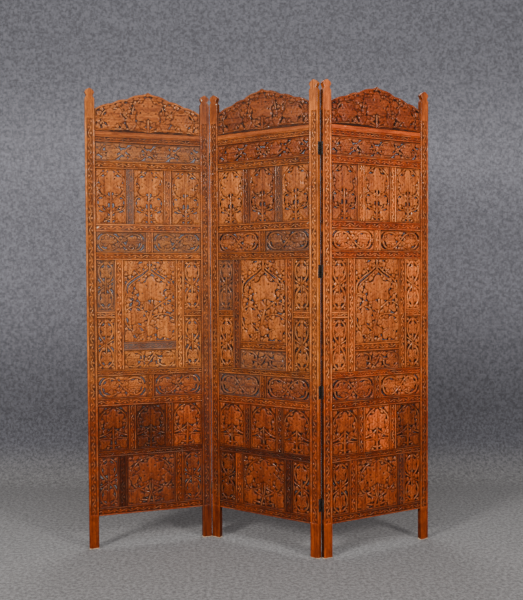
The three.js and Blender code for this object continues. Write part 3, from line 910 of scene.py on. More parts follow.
@dataclass
class Member:
    """A frame member with an engraved band between raised borders, in millimetres."""

    border: float = 5.0
    groove: float = 1.0
    depth: float = 1.8
    edge: float = 1.4
    pitch: float = 1.25
    clear: float = 3.0

    def rail(self, width: float, height: float, head: float = 0.0) -> Drawing:
        """Draws a lying member.

        Args:
            width: Its length.
            height: Its height.
            head: Height of a plain bead along its top.

        Returns:
            The drawing.
        """
        d = Drawing(width, height, pitch=self.pitch)
        middle, half = (height - head) / 2, (height - head) / 2 - self.border
        vine_band(d, self.clear - width / 2, width / 2 - self.clear, middle, half, upright=False)
        return self.bordered(d, np.abs(d.z - middle) - half, head)

    def upright(self, width: float, height: float) -> Drawing:
        """Draws a standing member.

        Args:
            width: Its width.
            height: Its length.

        Returns:
            The drawing.
        """
        d = Drawing(width, height, pitch=self.pitch)
        half = width / 2 - self.border
        vine_band(d, self.clear, height - self.clear, 0.0, half, upright=True)
        return self.bordered(d, np.abs(d.x) - half, 0.0)

    def bordered(self, d: Drawing, beyond: np.ndarray, head: float) -> Drawing:
        """Raises the borders on both sides of the band and rubs the edges down.

        Args:
            d: The drawing with its band engraved.
            beyond: Distance outside the band.
            head: Height of a plain bead along the top.

        Returns:
            The finished drawing.
        """
        bead = self.depth * (0.86 + 0.14 * domed((beyond / self.border) * 2 - 1))
        d.lay(-beyond, bead, trench=0.8)
        if head:
            swell = (d.height - d.z) / head * 2 - 1
            roll = self.depth * (0.95 + 0.2 * domed(swell))
            d.rise = np.where(d.z > d.height - head, roll, d.rise)
            d.rise -= groove(d.z - d.height + head, 0.9)
        d.rise -= 0.5 * groove(beyond - self.groove, 0.7) * (beyond > 0)
        d.solid()
        d.eased_edges(self.edge, 0.9)
        return d


@dataclass
class StileHead:
    """The pointed head of a stile, in millimetres, measured down from its tip."""

    tip_half: float = 4.0
    shoulder_drop: float = 16.0
    notch_drop: float = 30.0
    foot_drop: float = 41.0
    notch_depth: float = 7.0
    shoulder_round: float = 5.0
    tip_round: float = 1.5

    def half_width(self, below: np.ndarray, half: float) -> np.ndarray:
        """Gives half the head's width at each depth below the tip.

        Args:
            below: Depths below the tip.
            half: Half the stile's width.

        Returns:
            Half the width at each depth.
        """
        drops = [0.0, self.tip_round, self.shoulder_drop / 2, self.shoulder_drop,
                 self.notch_drop, self.foot_drop]
        halves = [0.0, self.tip_half, half - self.shoulder_round, half,
                  half - self.notch_depth, half]
        return np.interp(below, drops, halves)


@dataclass
class Stile:
    """A stile: a leg, an engraved band, a plain neck and a pointed head, in millimetres."""

    border: float = 7.0
    groove: float = 1.2
    depth: float = 1.8
    band_low: float = 136.0
    band_high: float = 1712.0
    bay: float = 24.0
    mortise: float = 1.8
    hinge_half: float = 25.3
    edge: float = 1.6
    head: StileHead = field(default_factory=StileHead)

    def draw(self, width: float, height: float, hinge_heights: Sequence[float]) -> Drawing:
        """Draws a stile with hinge recesses on its left edge.

        Args:
            width: Its width.
            height: Its height.
            hinge_heights: The middle of each hinge on its left edge.

        Returns:
            The drawing.
        """
        levels = [z + side * self.hinge_half for z in hinge_heights for side in (-1, 1)]
        places = (-width / 2 + self.mortise,) if levels else ()
        d = Drawing(width, height, pitch=1.5, lines_x=places, lines_z=tuple(levels))
        half = width / 2 - self.border
        vine_band(d, self.band_low, self.band_high, 0.0, half, upright=True, bay=self.bay)
        inside = (d.z > self.band_low - 4) & (d.z < self.band_high + 4)
        beyond = np.where(inside, np.abs(d.x) - half, 20.0)
        ends = np.maximum(self.band_low - d.z, d.z - self.band_high)
        beyond = np.maximum(beyond, ends)
        d.lay(-beyond, np.full(d.x.shape, self.depth), trench=0.8)
        d.rise -= 0.5 * groove(beyond - self.groove, 0.7) * (beyond > 0)
        d.solid()
        d.eased_edges(self.edge, 1.0)
        reach = self.head.half_width(height - d.z, width / 2)
        over = (np.abs(d.x) - reach) * 0.8
        d.rise -= 0.9 * (1 - eased(-over / self.edge)) * (d.z > height - self.head.foot_drop)
        d.cut_to(np.where(d.z > height - self.head.foot_drop - 3, over, DEEP_INSIDE))
        for z in hinge_heights:
            recess = np.minimum(-width / 2 + self.mortise - d.x, self.hinge_half - np.abs(d.z - z))
            d.cut_to(recess)
        return d


# --- From a drawing to a board of wood

CELL_CUTS = {
    1: (("c0", "e0", "e3"),),
    2: (("c1", "e1", "e0"),),
    3: (("c0", "c1", "e1", "e3"),),
    4: (("c2", "e2", "e1"),),
    5: (("c0", "e0", "e3"), ("c2", "e2", "e1")),
    6: (("c1", "c2", "e2", "e0"),),
    7: (("c0", "c1", "c2", "e2", "e3"),),
    8: (("c3", "e3", "e2"),),
    9: (("c0", "e0", "e2", "c3"),),
    10: (("c1", "e1", "e0"), ("c3", "e3", "e2")),
    11: (("c0", "c1", "e1", "e2", "c3"),),
    12: (("c2", "c3", "e3", "e1"),),
    13: (("c0", "e0", "e1", "c2", "c3"),),
    14: (("c1", "c2", "c3", "e3", "e0"),),
    15: (("c0", "c1", "c2", "c3"),),
}


@dataclass
class SawnSheet:
    """The front of a board as sawn: flat places, heights and triangles."""

    places: np.ndarray
    rise: np.ndarray
    triangles: np.ndarray

    @classmethod
    def from_drawing(cls, d: Drawing) -> "SawnSheet":
        """Saws a drawing along its outlines.

        Args:
            d: The drawing.

        Returns:
            The sheet, with its triangles turned towards the front.
        """
        nx, nz = d.gap.shape
        gap = np.where(np.abs(d.gap) < 1e-4, -1e-4, d.gap)
        wood = gap < 0
        corner = np.arange(nx * nz).reshape(nx, nz)

        def crossings(first: tuple, second: tuple) -> tuple[np.ndarray, np.ndarray]:
            """Finds where the outline crosses the lines between two sets of points.

            Args:
                first: Slices of the points at one end of the lines.
                second: Slices of those at the other end.

            Returns:
                A place on every line, which is its first end where nothing crosses it, and
                how high the wood stands there.
            """
            a, b = gap[first], gap[second]
            cut = (a < 0) != (b < 0)
            t = np.where(cut, a / np.where(cut, a - b, 1.0), 0.0)
            x = d.x[first] + (d.x[second] - d.x[first]) * t
            z = d.z[first] + (d.z[second] - d.z[first]) * t
            rise = np.where(wood[first], d.rise[first], d.rise[second])
            return np.stack([x, z], -1), rise

        whole, left, right = slice(None), slice(0, -1), slice(1, None)
        place_x, rise_x = crossings((left, whole), (right, whole))
        place_z, rise_z = crossings((whole, left), (whole, right))
        edge_x = nx * nz + np.arange(rise_x.size).reshape(rise_x.shape)
        edge_z = nx * nz + rise_x.size + np.arange(rise_z.size).reshape(rise_z.shape)
        place = np.concatenate([np.stack([d.x, d.z], -1).reshape(-1, 2),
                                place_x.reshape(-1, 2), place_z.reshape(-1, 2)])
        rise = np.concatenate([d.rise.ravel(), rise_x.ravel(), rise_z.ravel()])
        ids = {
            "c0": corner[:-1, :-1], "c1": corner[1:, :-1], "c2": corner[1:, 1:], "c3": corner[:-1, 1:],
            "e0": edge_x[:, :-1], "e1": edge_z[1:, :], "e2": edge_x[:, 1:], "e3": edge_z[:-1, :],
        }
        case = (wood[:-1, :-1] * 1 + wood[1:, :-1] * 2 + wood[1:, 1:] * 4 + wood[:-1, 1:] * 8)
        triangles = []
        for number, shapes in CELL_CUTS.items():
            here = case == number
            for shape in shapes:
                ring = [ids[name][here] for name in shape]
                triangles += [np.stack([ring[0], ring[k], ring[k + 1]], -1)
                              for k in range(1, len(ring) - 1)]
        faces = np.concatenate(triangles)
        used, flat = np.unique(faces, return_inverse=True)
        return cls(place[used], rise[used], flat.reshape(-1, 3))

    def rim(self) -> np.ndarray:
        """Finds the outline's edges.

        Returns:
            Pairs of points, each with the wood on its left.
        """
        t = self.triangles
        edges = np.concatenate([t[:, [0, 1]], t[:, [1, 2]], t[:, [2, 0]]]).astype(np.int64)
        size = len(self.places)
        forward, backward = edges[:, 0] * size + edges[:, 1], edges[:, 1] * size + edges[:, 0]
        return edges[~np.isin(forward, backward)]


def new_object(name: str, data: ID) -> Object:
    """Makes an object of a mesh, light or camera and puts it in the scene."""
    made = bpy.data.objects.new(name, data)
    bpy.context.scene.collection.objects.link(made)
    return made


def select_only(*parts: Object) -> None:
    """Selects parts alone and makes the first of them active."""
    bpy.ops.object.select_all(action="DESELECT")
    for part in parts:
        part.select_set(True)
    bpy.context.view_layer.objects.active = parts[0]


@dataclass
class Board:
    """A carved board, ready to be copied into its places.

    Attributes:
        name: What the board is called while it is made.
        drawing: Its carving.
        ground: Depth of the carving's ground behind the front of the stiles.
        back: Depth of its back.
        keep: Share of the faces kept once flat parts are simplified.
        reverse: Share of the carving's height that is also cut on the back.
        soiled: How much grime, and painted shade, lies on its ground.
        joint: Width of the dark line along its edges, grime in the joint and painted shadow of the frame, 0
            for none.
    """

    name: str
    drawing: Drawing
    ground: float
    back: float
    keep: float = 0.3
    reverse: float = 0.0
    soiled: float = 0.95
    joint: float = 4.5
    mesh: Mesh = field(init=False)

    def __post_init__(self) -> None:
        """Builds the mesh and thins out its flat parts."""
        self.mesh = self.simplified(self.raw_mesh())

    def raw_mesh(self) -> Mesh:
        """Makes the front, the back and the walls between them.

        Returns:
            The mesh, as fine as the drawing.
        """
        sheet = SawnSheet.from_drawing(self.drawing)
        count = len(sheet.places)
        front = np.column_stack([sheet.places[:, 0], self.ground - sheet.rise, sheet.places[:, 1]])
        worn = self.back - self.reverse * (3.0 - sheet.rise)
        rear = np.column_stack([sheet.places[:, 0], worn, sheet.places[:, 1]])
        rim = sheet.rim()
        walls = np.concatenate([
            np.stack([rim[:, 1], rim[:, 0], rim[:, 0] + count], -1),
            np.stack([rim[:, 1], rim[:, 0] + count, rim[:, 1] + count], -1),
        ])
        faces = np.concatenate([sheet.triangles, sheet.triangles[:, ::-1] + count, walls])
        mesh = bpy.data.meshes.new(self.name)
        mesh.vertices.add(count * 2)
        mesh.vertices.foreach_set("co", np.concatenate([front, rear]).ravel() * MM)
        mesh.loops.add(faces.size)
        mesh.loops.foreach_set("vertex_index", faces.ravel().astype(np.int32))
        mesh.polygons.add(len(faces))
        mesh.polygons.foreach_set("loop_start", np.arange(0, faces.size, 3, dtype=np.int32))
        mesh.update(calc_edges=True)
        mesh.validate()
        return mesh

    def simplified(self, mesh: Mesh) -> Mesh:
        """Thins out the flat parts and smooths the rounded ones.

        Args:
            mesh: The board's fine mesh.

        Returns:
            The thinned mesh.
        """
        work = new_object(self.name, mesh)
        select_only(work)
        thin = work.modifiers.new("thin", "DECIMATE")
        thin.ratio = self.keep
        bpy.ops.object.modifier_apply(modifier="thin")
        bpy.ops.object.shade_smooth_by_angle(angle=math.radians(38))
        result = work.data
        bpy.data.objects.remove(work)
        return result

    def wear_maps(self) -> tuple[np.ndarray, np.ndarray]:
        """Works out where grime gathers and shade is painted, and where hands rub and highlights are
        painted.

        Returns:
            Two maps over the drawing, each from 0 to 1: grime with painted shade, and rubbing with painted
            highlights.
        """
        d = self.drawing
        reach = max(1, round(3.0 / d.pitch))
        surface = np.where(d.gap < 0, d.rise, -3.0)
        mean = blurred(surface, reach)
        ground = self.soiled * eased((1.1 - d.rise) / 0.9)
        # Grime on the low ground, and painted shade in the hollows beside raised carving.
        dirt = np.maximum(ground, 0.95 * np.clip((mean - surface) / 0.6, 0, 1) * min(1.0, self.soiled + 0.1))
        # Painted shadow: a dark line along the edges, where the frame shades a sunk panel, with grime in the
        # joint.
        if self.joint:
            dirt = np.maximum(dirt, (1 - eased((d.from_edge() - 0.6) / self.joint)) * 0.9)
        level = np.where(d.gap < 0, d.rise, 0.0)
        # Rubbing on high places; the finish also paints them paler as their highlight.
        rubbed = np.clip((level - blurred(level, reach) - 0.15) / 0.9, 0, 1)
        return blurred(dirt, 1) * 0.5 + dirt * 0.5, rubbed


PIERCED = {"ground": 6.0, "back": 14.0, "keep": 0.155, "reverse": 0.35}
ENGRAVED = {"ground": 2.8, "back": 17.0, "keep": 0.2, "soiled": 0.8, "joint": 1.4}
STILE_WOOD = {"ground": 1.8, "back": 18.0, "keep": 0.2, "soiled": 0.76, "joint": 0.0}

# Knocks: place across, place up and size, in the board's millimetres.
CHIPS = {
    "left_rail_over_upper_two": (-205.0, 17.0, 8.0), "middle_rail_over_upper_two": (205.0, 24.0, 9.0),
    "left_right_stile": (-12.0, 1808.0, 7.0), "middle_left_stile": (15.0, 1790.0, 5.0),
    "left_rail_over_bottom_panels": (190.0, 20.0, 6.0), "right_top_rail": (-150.0, 38.0, 5.0),
}

# A knock runs slantwise (sine and cosine of its slope) and is this much narrower than long.
KNOCK_SLANT, KNOCK_NARROW = (0.6, 0.8), 2.2

# Each leaf's share of light painted into its colour (painted shade on the middle leaf), and what it adds of
# red and of dust.
CASTS = {"left": (0.94, 0.05, 0.1), "middle": (0.8, 0.2, 0.03), "right": (1.04, 0.5, 0.0)}


@dataclass(frozen=True)
class Ageing:
    """How the wood's colour changes over the screen, with heights in millimetres: darker and redder towards
    the bottom, darker at the stiles' ends, with scuffed feet and knocks.
    """

    low_from: float = 740.0
    low_over: float = 260.0
    low_dark: float = 0.36
    low_red: float = 0.9
    light_spread: float = 0.07
    red_spread: float = 0.08
    end_dark: float = 0.25
    neck_from: float = 1690.0
    neck_over: float = 60.0
    foot_from: float = 136.0
    foot_over: float = 12.0
    scuff: float = 5.0
    dent: float = 1.4


@dataclass
class LeafPlace:
    """Where one leaf stands: its own axes in the room, in metres and radians."""

    side: Side
    x: float
    y: float
    turn: float

    @classmethod
    def from_frame(cls, side: Side, turn_degrees: float) -> "LeafPlace":
        """Finds a leaf's corner from the box of its left stile.

        Args:
            side: The leaf.
            turn_degrees: Its turn about the vertical.

        Returns:
            The leaf's place.
        """
        low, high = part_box(f"{side.value}_leaf_left_stile")
        turn = math.radians(turn_degrees)
        s, c = math.sin(turn), math.cos(turn)
        across, along = high[0] - low[0], high[1] - low[1]
        lean = abs(s)
        width = (across * c - along * lean) / (c * c - s * s)
        thick = (along * c - across * lean) / (c * c - s * s)
        if turn > 0:
            return cls(side, low[0] + thick * s, low[1], turn)
        return cls(side, low[0], low[1] + width * lean, turn)

    def place(self, points: np.ndarray) -> np.ndarray:
        """Moves points from the leaf's own axes to the room."""
        c, s = math.cos(self.turn), math.sin(self.turn)
        x, y, z = points.T
        return np.column_stack([self.x + x * c - y * s, self.y + x * s + y * c, z])

    def own(self, point: Sequence[float]) -> Point:
        """Gives a room point's place across and through the leaf, in millimetres."""
        c, s = math.cos(self.turn), math.sin(self.turn)
        dx, dy = point[0] - self.x, point[1] - self.y
        return (dx * c + dy * s) / MM, (dy * c - dx * s) / MM


@dataclass
class Piece:
    """One board of a leaf and where it sits, in millimetres in the leaf's axes."""

    name: str
    board: str
    node: str
    middle: float
    foot: float
    tone: Tone = Tone.PLAIN
    finish: str = "panel"
    grain: Grain = Grain.UPRIGHT
    flip: bool = False


# --- Finishes


FLOAT, VECTOR = "NodeSocketFloat", "NodeSocketVector"


def node_group(
        name: str, inputs: Sequence[tuple[str, str, object]], outputs: Sequence[tuple[str, str]],
) -> tuple[NodeTree, Node, Node]:
    """Starts a shader node group with named sockets.

    Args:
        name: The group's name.
        inputs: Name, socket type and default of each input.
        outputs: Name and socket type of each output.

    Returns:
        The group, its input node and its output node.
    """
    group = bpy.data.node_groups.new(name, "ShaderNodeTree")
    for title, kind, default in inputs:
        socket = group.interface.new_socket(title, in_out="INPUT", socket_type=kind)
        if default is not None:
            socket.default_value = default
    for title, kind in outputs:
        group.interface.new_socket(title, in_out="OUTPUT", socket_type=kind)
    return group, group.nodes.new("NodeGroupInput"), group.nodes.new("NodeGroupOutput")


@dataclass
class NodeBench:
    """A small helper that adds and joins nodes in one tree."""

    tree: NodeTree

    def add(self, kind: str, **settings: object) -> Node:
        """Adds a node.

        Args:
            kind: Its type.
            settings: Its properties.

        Returns:
            The node.
        """
        node = self.tree.nodes.new(kind)
        for key, value in settings.items():
            setattr(node, key, value)
        return node

    def join(self, source: NodeSocket, target: NodeSocket) -> None:
        """Joins two sockets."""
        self.tree.links.new(source, target)

    def put(self, value: object, socket: NodeSocket) -> None:
        """Joins a socket, or sets a plain value, whichever is given.

        Args:
            value: The socket or value.
            socket: The socket that takes it.
        """
        if isinstance(value, NodeSocket):
            self.join(value, socket)
        else:
            socket.default_value = value

    def math(self, operation: str, first: object, second: object = 0.0, third: object = 0.0,
             clamp: bool = False) -> NodeSocket:
        """Adds a sum.

        Args:
            operation: The kind of sum.
            first: Its first value or socket.
            second: Its second.
            third: Its third.
            clamp: Whether the result is held between 0 and 1.

        Returns:
            The result's socket.
        """
        node = self.add("ShaderNodeMath", operation=operation, use_clamp=clamp)
        for value, socket in zip((first, second, third), node.inputs):
            self.put(value, socket)
        return node.outputs[0]

    def times(self, first: object, second: object, clamp: bool = False) -> NodeSocket:
        """Multiplies two values or sockets."""
        return self.math("MULTIPLY", first, second, clamp=clamp)

    def blend(self, share: object, first: object, second: object, mode: str = "MIX") -> NodeSocket:
        """Blends two colours.

        Args:
            share: How much of the second colour there is.
            first: The first colour or socket.
            second: The second.
            mode: The way of blending.

        Returns:
            The result's socket.
        """
        node = self.add("ShaderNodeMix", data_type="RGBA", blend_type=mode)
        self.put(share, node.inputs[0])
        self.put(first, node.inputs[6])
        self.put(second, node.inputs[7])
        return node.outputs[2]

    def noise(self, vector: NodeSocket, scale: float, detail: float = 3.0,
              rough: float = 0.55, distort: float = 0.0) -> NodeSocket:
        # Painted light and shade by height: the floor lighter, painted shade at the wall's foot, a painted
        # pool of light up the wall and painted shade towards its top.
        """Builds a matt mottled felt, cooler on the wall, with light and shade painted by height, and clear
        when seen from behind.
            scale: Its fineness.
            detail: How many finer layers it has.
            rough: How strong the finer layers are.
            distort: How much it is swirled.

        Returns:
            The pattern's socket.
        """
        node = self.add("ShaderNodeTexNoise")
        self.join(vector, node.inputs["Vector"])
        node.inputs["Scale"].default_value = scale
        node.inputs["Detail"].default_value = detail
        node.inputs["Roughness"].default_value = rough
        node.inputs["Distortion"].default_value = distort
        return node.outputs["Fac"]

    def stretched(self, vector: NodeSocket,
                  scale: tuple[float, float, float]) -> NodeSocket:
        """Stretches a vector along its axes.

        Args:
            vector: The vector's socket.
            scale: The factors.

        Returns:
            The result's socket.
        """
        node = self.add("ShaderNodeVectorMath", operation="MULTIPLY")
        self.join(vector, node.inputs[0])
        node.inputs[1].default_value = scale
        return node.outputs[0]

    def step(self, value: object, low: float, high: float, start: float = 0.0,
             end: float = 1.0) -> NodeSocket:
        """Maps a range of values smoothly onto another and holds its ends.

        Args:
            value: The value or socket.
            low: Where the range begins.
            high: Where it ends.
            start: What its beginning becomes.
            end: What its end becomes.

        Returns:
            The result's socket.
        """
        node = self.add("ShaderNodeMapRange", interpolation_type="SMOOTHSTEP")
        self.put(value, node.inputs["Value"])
        for title, number in (("From Min", low), ("From Max", high), ("To Min", start), ("To Max", end)):
            node.inputs[title].default_value = number
        return node.outputs["Result"]

    def bump(self, height: NodeSocket, strength: float, distance: float,
             shader: Node) -> None:
        """Raises a shader's surface by a pattern.

        Args:
            height: The pattern.
            strength: How strongly it shows.
            distance: Its height in metres.
            shader: The shader.
        """
        node = self.add("ShaderNodeBump")
        node.inputs["Strength"].default_value = strength
        node.inputs["Distance"].default_value = distance
        self.join(height, node.inputs["Height"])
        self.join(node.outputs["Normal"], shader.inputs["Normal"])

    def attribute(self, name: str) -> Node:
        """Reads a value kept on the mesh."""
        return self.add("ShaderNodeAttribute", attribute_name=name)


def new_material(name: str) -> tuple[Material, NodeBench, Node]:
    """Starts a material.

    Args:
        name: Its name.

    Returns:
        The material, the bench for its nodes and its shader.
    """
    made = bpy.data.materials.new(name)
    made.use_nodes = True
    return made, NodeBench(made.node_tree), made.node_tree.nodes["Principled BSDF"]


class SharedGroups:
    """Node groups used by more than one finish, each built once."""

    def __init__(self) -> None:
        """Builds the groups."""
        self.grain = self.build_grain()
        self.dirt = self.build_dirt()
        self.dust = self.build_dust()

    @staticmethod
    def build_grain() -> NodeTree:
        """Long figure, fine lines and pores that run along the board.

        Returns:
            The node group.
        """
        group, start, end = node_group(
            "hardwood grain", [("Along", VECTOR, None)],
            [("Figure", FLOAT), ("Lines", FLOAT), ("Pores", FLOAT),
             ("Stain", FLOAT), ("Streaks", FLOAT), ("Height", FLOAT)])
        bench = NodeBench(group)
        along = start.outputs["Along"]
        stain = bench.noise(bench.stretched(along, (18.0, 46.0, 46.0)), 1.0, 6.0, 0.7, 0.6)
        streaks = bench.noise(bench.stretched(along, (5.0, 150.0, 190.0)), 1.0, 3.0, 0.6, 0.2)
        figure = bench.noise(bench.stretched(along, (3.5, 30.0, 34.0)), 1.0, 4.0, 0.6, 0.8)
        lines = bench.noise(bench.stretched(along, (14.0, 300.0, 420.0)), 1.0, 3.0, 0.6, 0.3)
        pores = bench.noise(bench.stretched(along, (60.0, 900.0, 1100.0)), 1.0, 1.0, 0.5)
        pore = bench.step(pores, 0.56, 0.7)
        height = bench.math("SUBTRACT", lines, bench.times(pore, 0.6))
        results = {"Figure": bench.step(figure, 0.34, 0.68), "Lines": bench.step(lines, 0.3, 0.7),
                   "Pores": pore, "Stain": bench.step(stain, 0.42, 0.62),
                   "Streaks": bench.step(streaks, 0.5, 0.68), "Height": height}
        for title, socket in results.items():
            bench.join(socket, end.inputs[title])
        return group

    @staticmethod
    def build_dirt() -> NodeTree:
        """Old wax and grime that gather in cuts, darkened further as painted shade, and worn high places,
        lightened as painted highlights.

        Returns:
            The node group.
        """
        group, start, end = node_group(
            "cuts, shade, rubbing and highlights", [("Along", VECTOR, None), ("Cut", FLOAT, 0.0),
                                 ("Rubbed", FLOAT, 0.0)],
            [("Dirt", FLOAT), ("Wear", FLOAT)])
        bench = NodeBench(group)
        blotch = bench.noise(start.outputs["Along"], 38.0, 4.0, 0.6)
        uneven = bench.step(blotch, 0.3, 0.7, 0.8, 1.3)
        dirt = bench.times(start.outputs["Cut"], uneven, clamp=True)
        wear_and_highlight = bench.times(start.outputs["Rubbed"], bench.step(blotch, 0.42, 0.66), clamp=True)
        bench.join(dirt, end.inputs["Dirt"])
        bench.join(wear_and_highlight, end.inputs["Wear"])
        return group

    @staticmethod
    def build_dust() -> NodeTree:
        """A thin grey film, thicker in patches.

        Returns:
            The node group.
        """
        group, start, end = node_group(
            "dust film", [("Place", VECTOR, None), ("Amount", FLOAT, 0.0),
                          ("Cut", FLOAT, 0.0)],
            [("Film", FLOAT)])
        bench = NodeBench(group)
        patch = bench.noise(start.outputs["Place"], 22.0, 4.0, 0.65)
        fine = bench.noise(start.outputs["Place"], 340.0, 2.0, 0.6)
        share = bench.times(bench.step(patch, 0.3, 0.68, 0.35, 1.0), bench.step(fine, 0.3, 0.7, 0.6, 1.0))
        lodged = bench.math("MULTIPLY_ADD", start.outputs["Cut"], 0.5, 0.55)
        share = bench.times(share, lodged)
        film = bench.times(share, start.outputs["Amount"], clamp=True)
        bench.join(film, end.inputs["Film"])
        return group


@dataclass(frozen=True)
class WoodFinish:
    """A waxed hardwood, with colours as linear red, green and blue.

    Attributes:
        name: The material's name.
        slot: The record's material slot.
        pale: The light figure.
        mid: The ground colour.
        deep: The dark lines.
        dirt: Old wax and grime in the cuts, and painted shade in the hollows.
        rubbed: Bare worn high places, painted paler also as their highlight.
        dust: The dust film.
        bare: Unfinished wood where the feet are scuffed.
        roughness: Of clean waxed wood.
        coat: Strength of the wax's own shine.
    """

    name: str
    slot: str
    pale: tuple[float, float, float]
    mid: tuple[float, float, float]
    deep: tuple[float, float, float]
    dirt: tuple[float, float, float] = (0.022, 0.006, 0.002)
    rubbed: tuple[float, float, float] = (0.95, 0.45, 0.16)
    dust: tuple[float, float, float] = (0.14, 0.098, 0.083)
    bare: tuple[float, float, float] = (0.75, 0.55, 0.36)
    roughness: float = 0.48
    coat: float = 0.01

    def material(self, groups: SharedGroups) -> Material:
        """Builds the material.

        Args:
            groups: The shared node groups.

        Returns:
            The material.
        """
        made, bench, shader = new_material(self.name)
        along = bench.attribute("board").outputs["Vector"]
        place = bench.add("ShaderNodeTexCoord").outputs["Object"]
        # Mesh maps: grime with painted shade in the hollows, and rubbing with painted highlights on high
        # places.
        cut = bench.attribute("cut").outputs["Fac"]
        rubbed = bench.attribute("rubbed").outputs["Fac"]
        tone = bench.attribute("tone")
        grain = bench.add("ShaderNodeGroup", node_tree=groups.grain)
        bench.join(along, grain.inputs["Along"])
        marks = bench.add("ShaderNodeGroup", node_tree=groups.dirt)
        bench.join(along, marks.inputs["Along"])
        bench.join(cut, marks.inputs["Cut"])
        bench.join(rubbed, marks.inputs["Rubbed"])
        lights = bench.add("ShaderNodeSeparateColor")
        bench.join(tone.outputs["Color"], lights.inputs[0])
        light, red, dusty = lights.outputs[0], lights.outputs[1], lights.outputs[2]
        film = bench.add("ShaderNodeGroup", node_tree=groups.dust)
        bench.join(place, film.inputs["Place"])
        bench.join(dusty, film.inputs["Amount"])
        bench.join(cut, film.inputs["Cut"])
        colour = bench.blend(grain.outputs["Figure"], (*self.mid, 1), (*self.pale, 1))
        colour = bench.blend(bench.times(grain.outputs["Lines"], 0.55), colour, (*self.deep, 1))
        colour = bench.blend(bench.times(grain.outputs["Pores"], 0.5), colour, (*self.dirt, 1))
        stained = bench.blend(1.0, colour, (0.42, 0.36, 0.36, 1), "MULTIPLY")
        colour = bench.blend(bench.times(grain.outputs["Stain"], 0.62), colour, stained)
        streaked = bench.blend(1.0, colour, (0.3, 0.2, 0.16, 1), "MULTIPLY")
        colour = bench.blend(bench.times(grain.outputs["Streaks"], 0.7), colour, streaked)
        reddened = bench.blend(1.0, colour, (0.97, 0.52, 0.36, 1), "MULTIPLY")
        colour = bench.blend(red, colour, reddened)
        # Painted highlight: worn high places are mixed towards a pale colour, as bare wood and as the shine
        # on it.
        colour = bench.blend(bench.times(marks.outputs["Wear"], 0.4), colour, (*self.rubbed, 1))
        shade = bench.add("ShaderNodeCombineColor")
        for socket in shade.inputs:
            bench.join(light, socket)
        colour = bench.blend(1.0, colour, shade.outputs[0], "MULTIPLY")
        # Painted shade: hollows and edges are darkened towards old wax, as grime and as the shade that falls
        # there.
        colour = bench.blend(bench.times(marks.outputs["Dirt"], 0.96), colour, (*self.dirt, 1))
        colour = bench.blend(film.outputs["Film"], colour, (*self.dust, 1))
        scuffed = bench.step(bench.math("MULTIPLY_ADD", bench.noise(place, 60.0), 1.0,
                                        bench.attribute("bare").outputs["Fac"]), 0.85, 1.15)
        colour = bench.blend(scuffed, colour, (*self.bare, 1))
        bench.join(colour, shader.inputs["Base Color"])
        rough = bench.math("MULTIPLY_ADD", grain.outputs["Lines"], 0.1, self.roughness - 0.05)
        rough = bench.math("MULTIPLY_ADD", marks.outputs["Dirt"], 0.22, rough)
        rough = bench.math("MULTIPLY_ADD", marks.outputs["Wear"], -0.16, rough)
        rough = bench.math("MULTIPLY_ADD", film.outputs["Film"], 0.3, rough, clamp=True)
        bench.join(rough, shader.inputs["Roughness"])
        wax = bench.math("MULTIPLY_ADD", marks.outputs["Wear"], 0.8, self.coat)
        shader.inputs["Specular IOR Level"].default_value = 0.14
        bench.join(wax, shader.inputs["Coat Weight"])
        shader.inputs["Coat Roughness"].default_value = 0.22
        gouges = bench.noise(along, 260.0, 2.0, 0.5)
        height = bench.math("MULTIPLY_ADD", grain.outputs["Height"], 0.5, bench.times(gouges, 0.6))
        bench.bump(height, 0.5, 0.0006, shader)
        return made


@dataclass(frozen=True)
class IronFinish:
    """Darkened iron with a little rust, with colours as linear red, green and blue."""

    name: str = "dark hinge iron"
    bare: tuple[float, float, float] = (0.11, 0.1, 0.09)
    dark: tuple[float, float, float] = (0.035, 0.03, 0.028)
    rust: tuple[float, float, float] = (0.12, 0.045, 0.02)

    def material(self) -> Material:
        """Builds the material.

        Returns:
            The material.
        """
        made, bench, shader = new_material(self.name)
        place = bench.add("ShaderNodeTexCoord").outputs["Object"]
        blotch = bench.noise(place, 140.0, 4.0, 0.6)
        specks = bench.noise(place, 700.0, 3.0, 0.6)
        colour = bench.blend(bench.step(blotch, 0.4, 0.62), (*self.dark, 1), (*self.bare, 1))
        rusty = bench.times(bench.step(specks, 0.5, 0.66), bench.step(blotch, 0.62, 0.4))
        bench.join(bench.blend(rusty, colour, (*self.rust, 1)), shader.inputs["Base Color"])
        bench.join(bench.step(specks, 0.3, 0.7, 0.42, 0.7), shader.inputs["Roughness"])
        metal = bench.math("SUBTRACT", 0.85, bench.times(rusty, 0.8))
        bench.join(metal, shader.inputs["Metallic"])
        bench.bump(specks, 0.4, 0.0003, shader)
        return made


WOODS = (
    WoodFinish("stile wood", "stile", (0.9, 0.27, 0.036), (0.56, 0.15, 0.02), (0.2, 0.036, 0.005)),
    WoodFinish("rail wood", "rail", (0.86, 0.25, 0.034), (0.54, 0.14, 0.02), (0.19, 0.033, 0.005)),
    WoodFinish("panel wood", "panel", (0.92, 0.3, 0.052), (0.6, 0.175, 0.03), (0.22, 0.045, 0.009)),
    WoodFinish("crest wood", "crest", (0.74, 0.225, 0.036), (0.47, 0.128, 0.021), (0.17, 0.032, 0.006)),
)


# --- A leaf of the screen


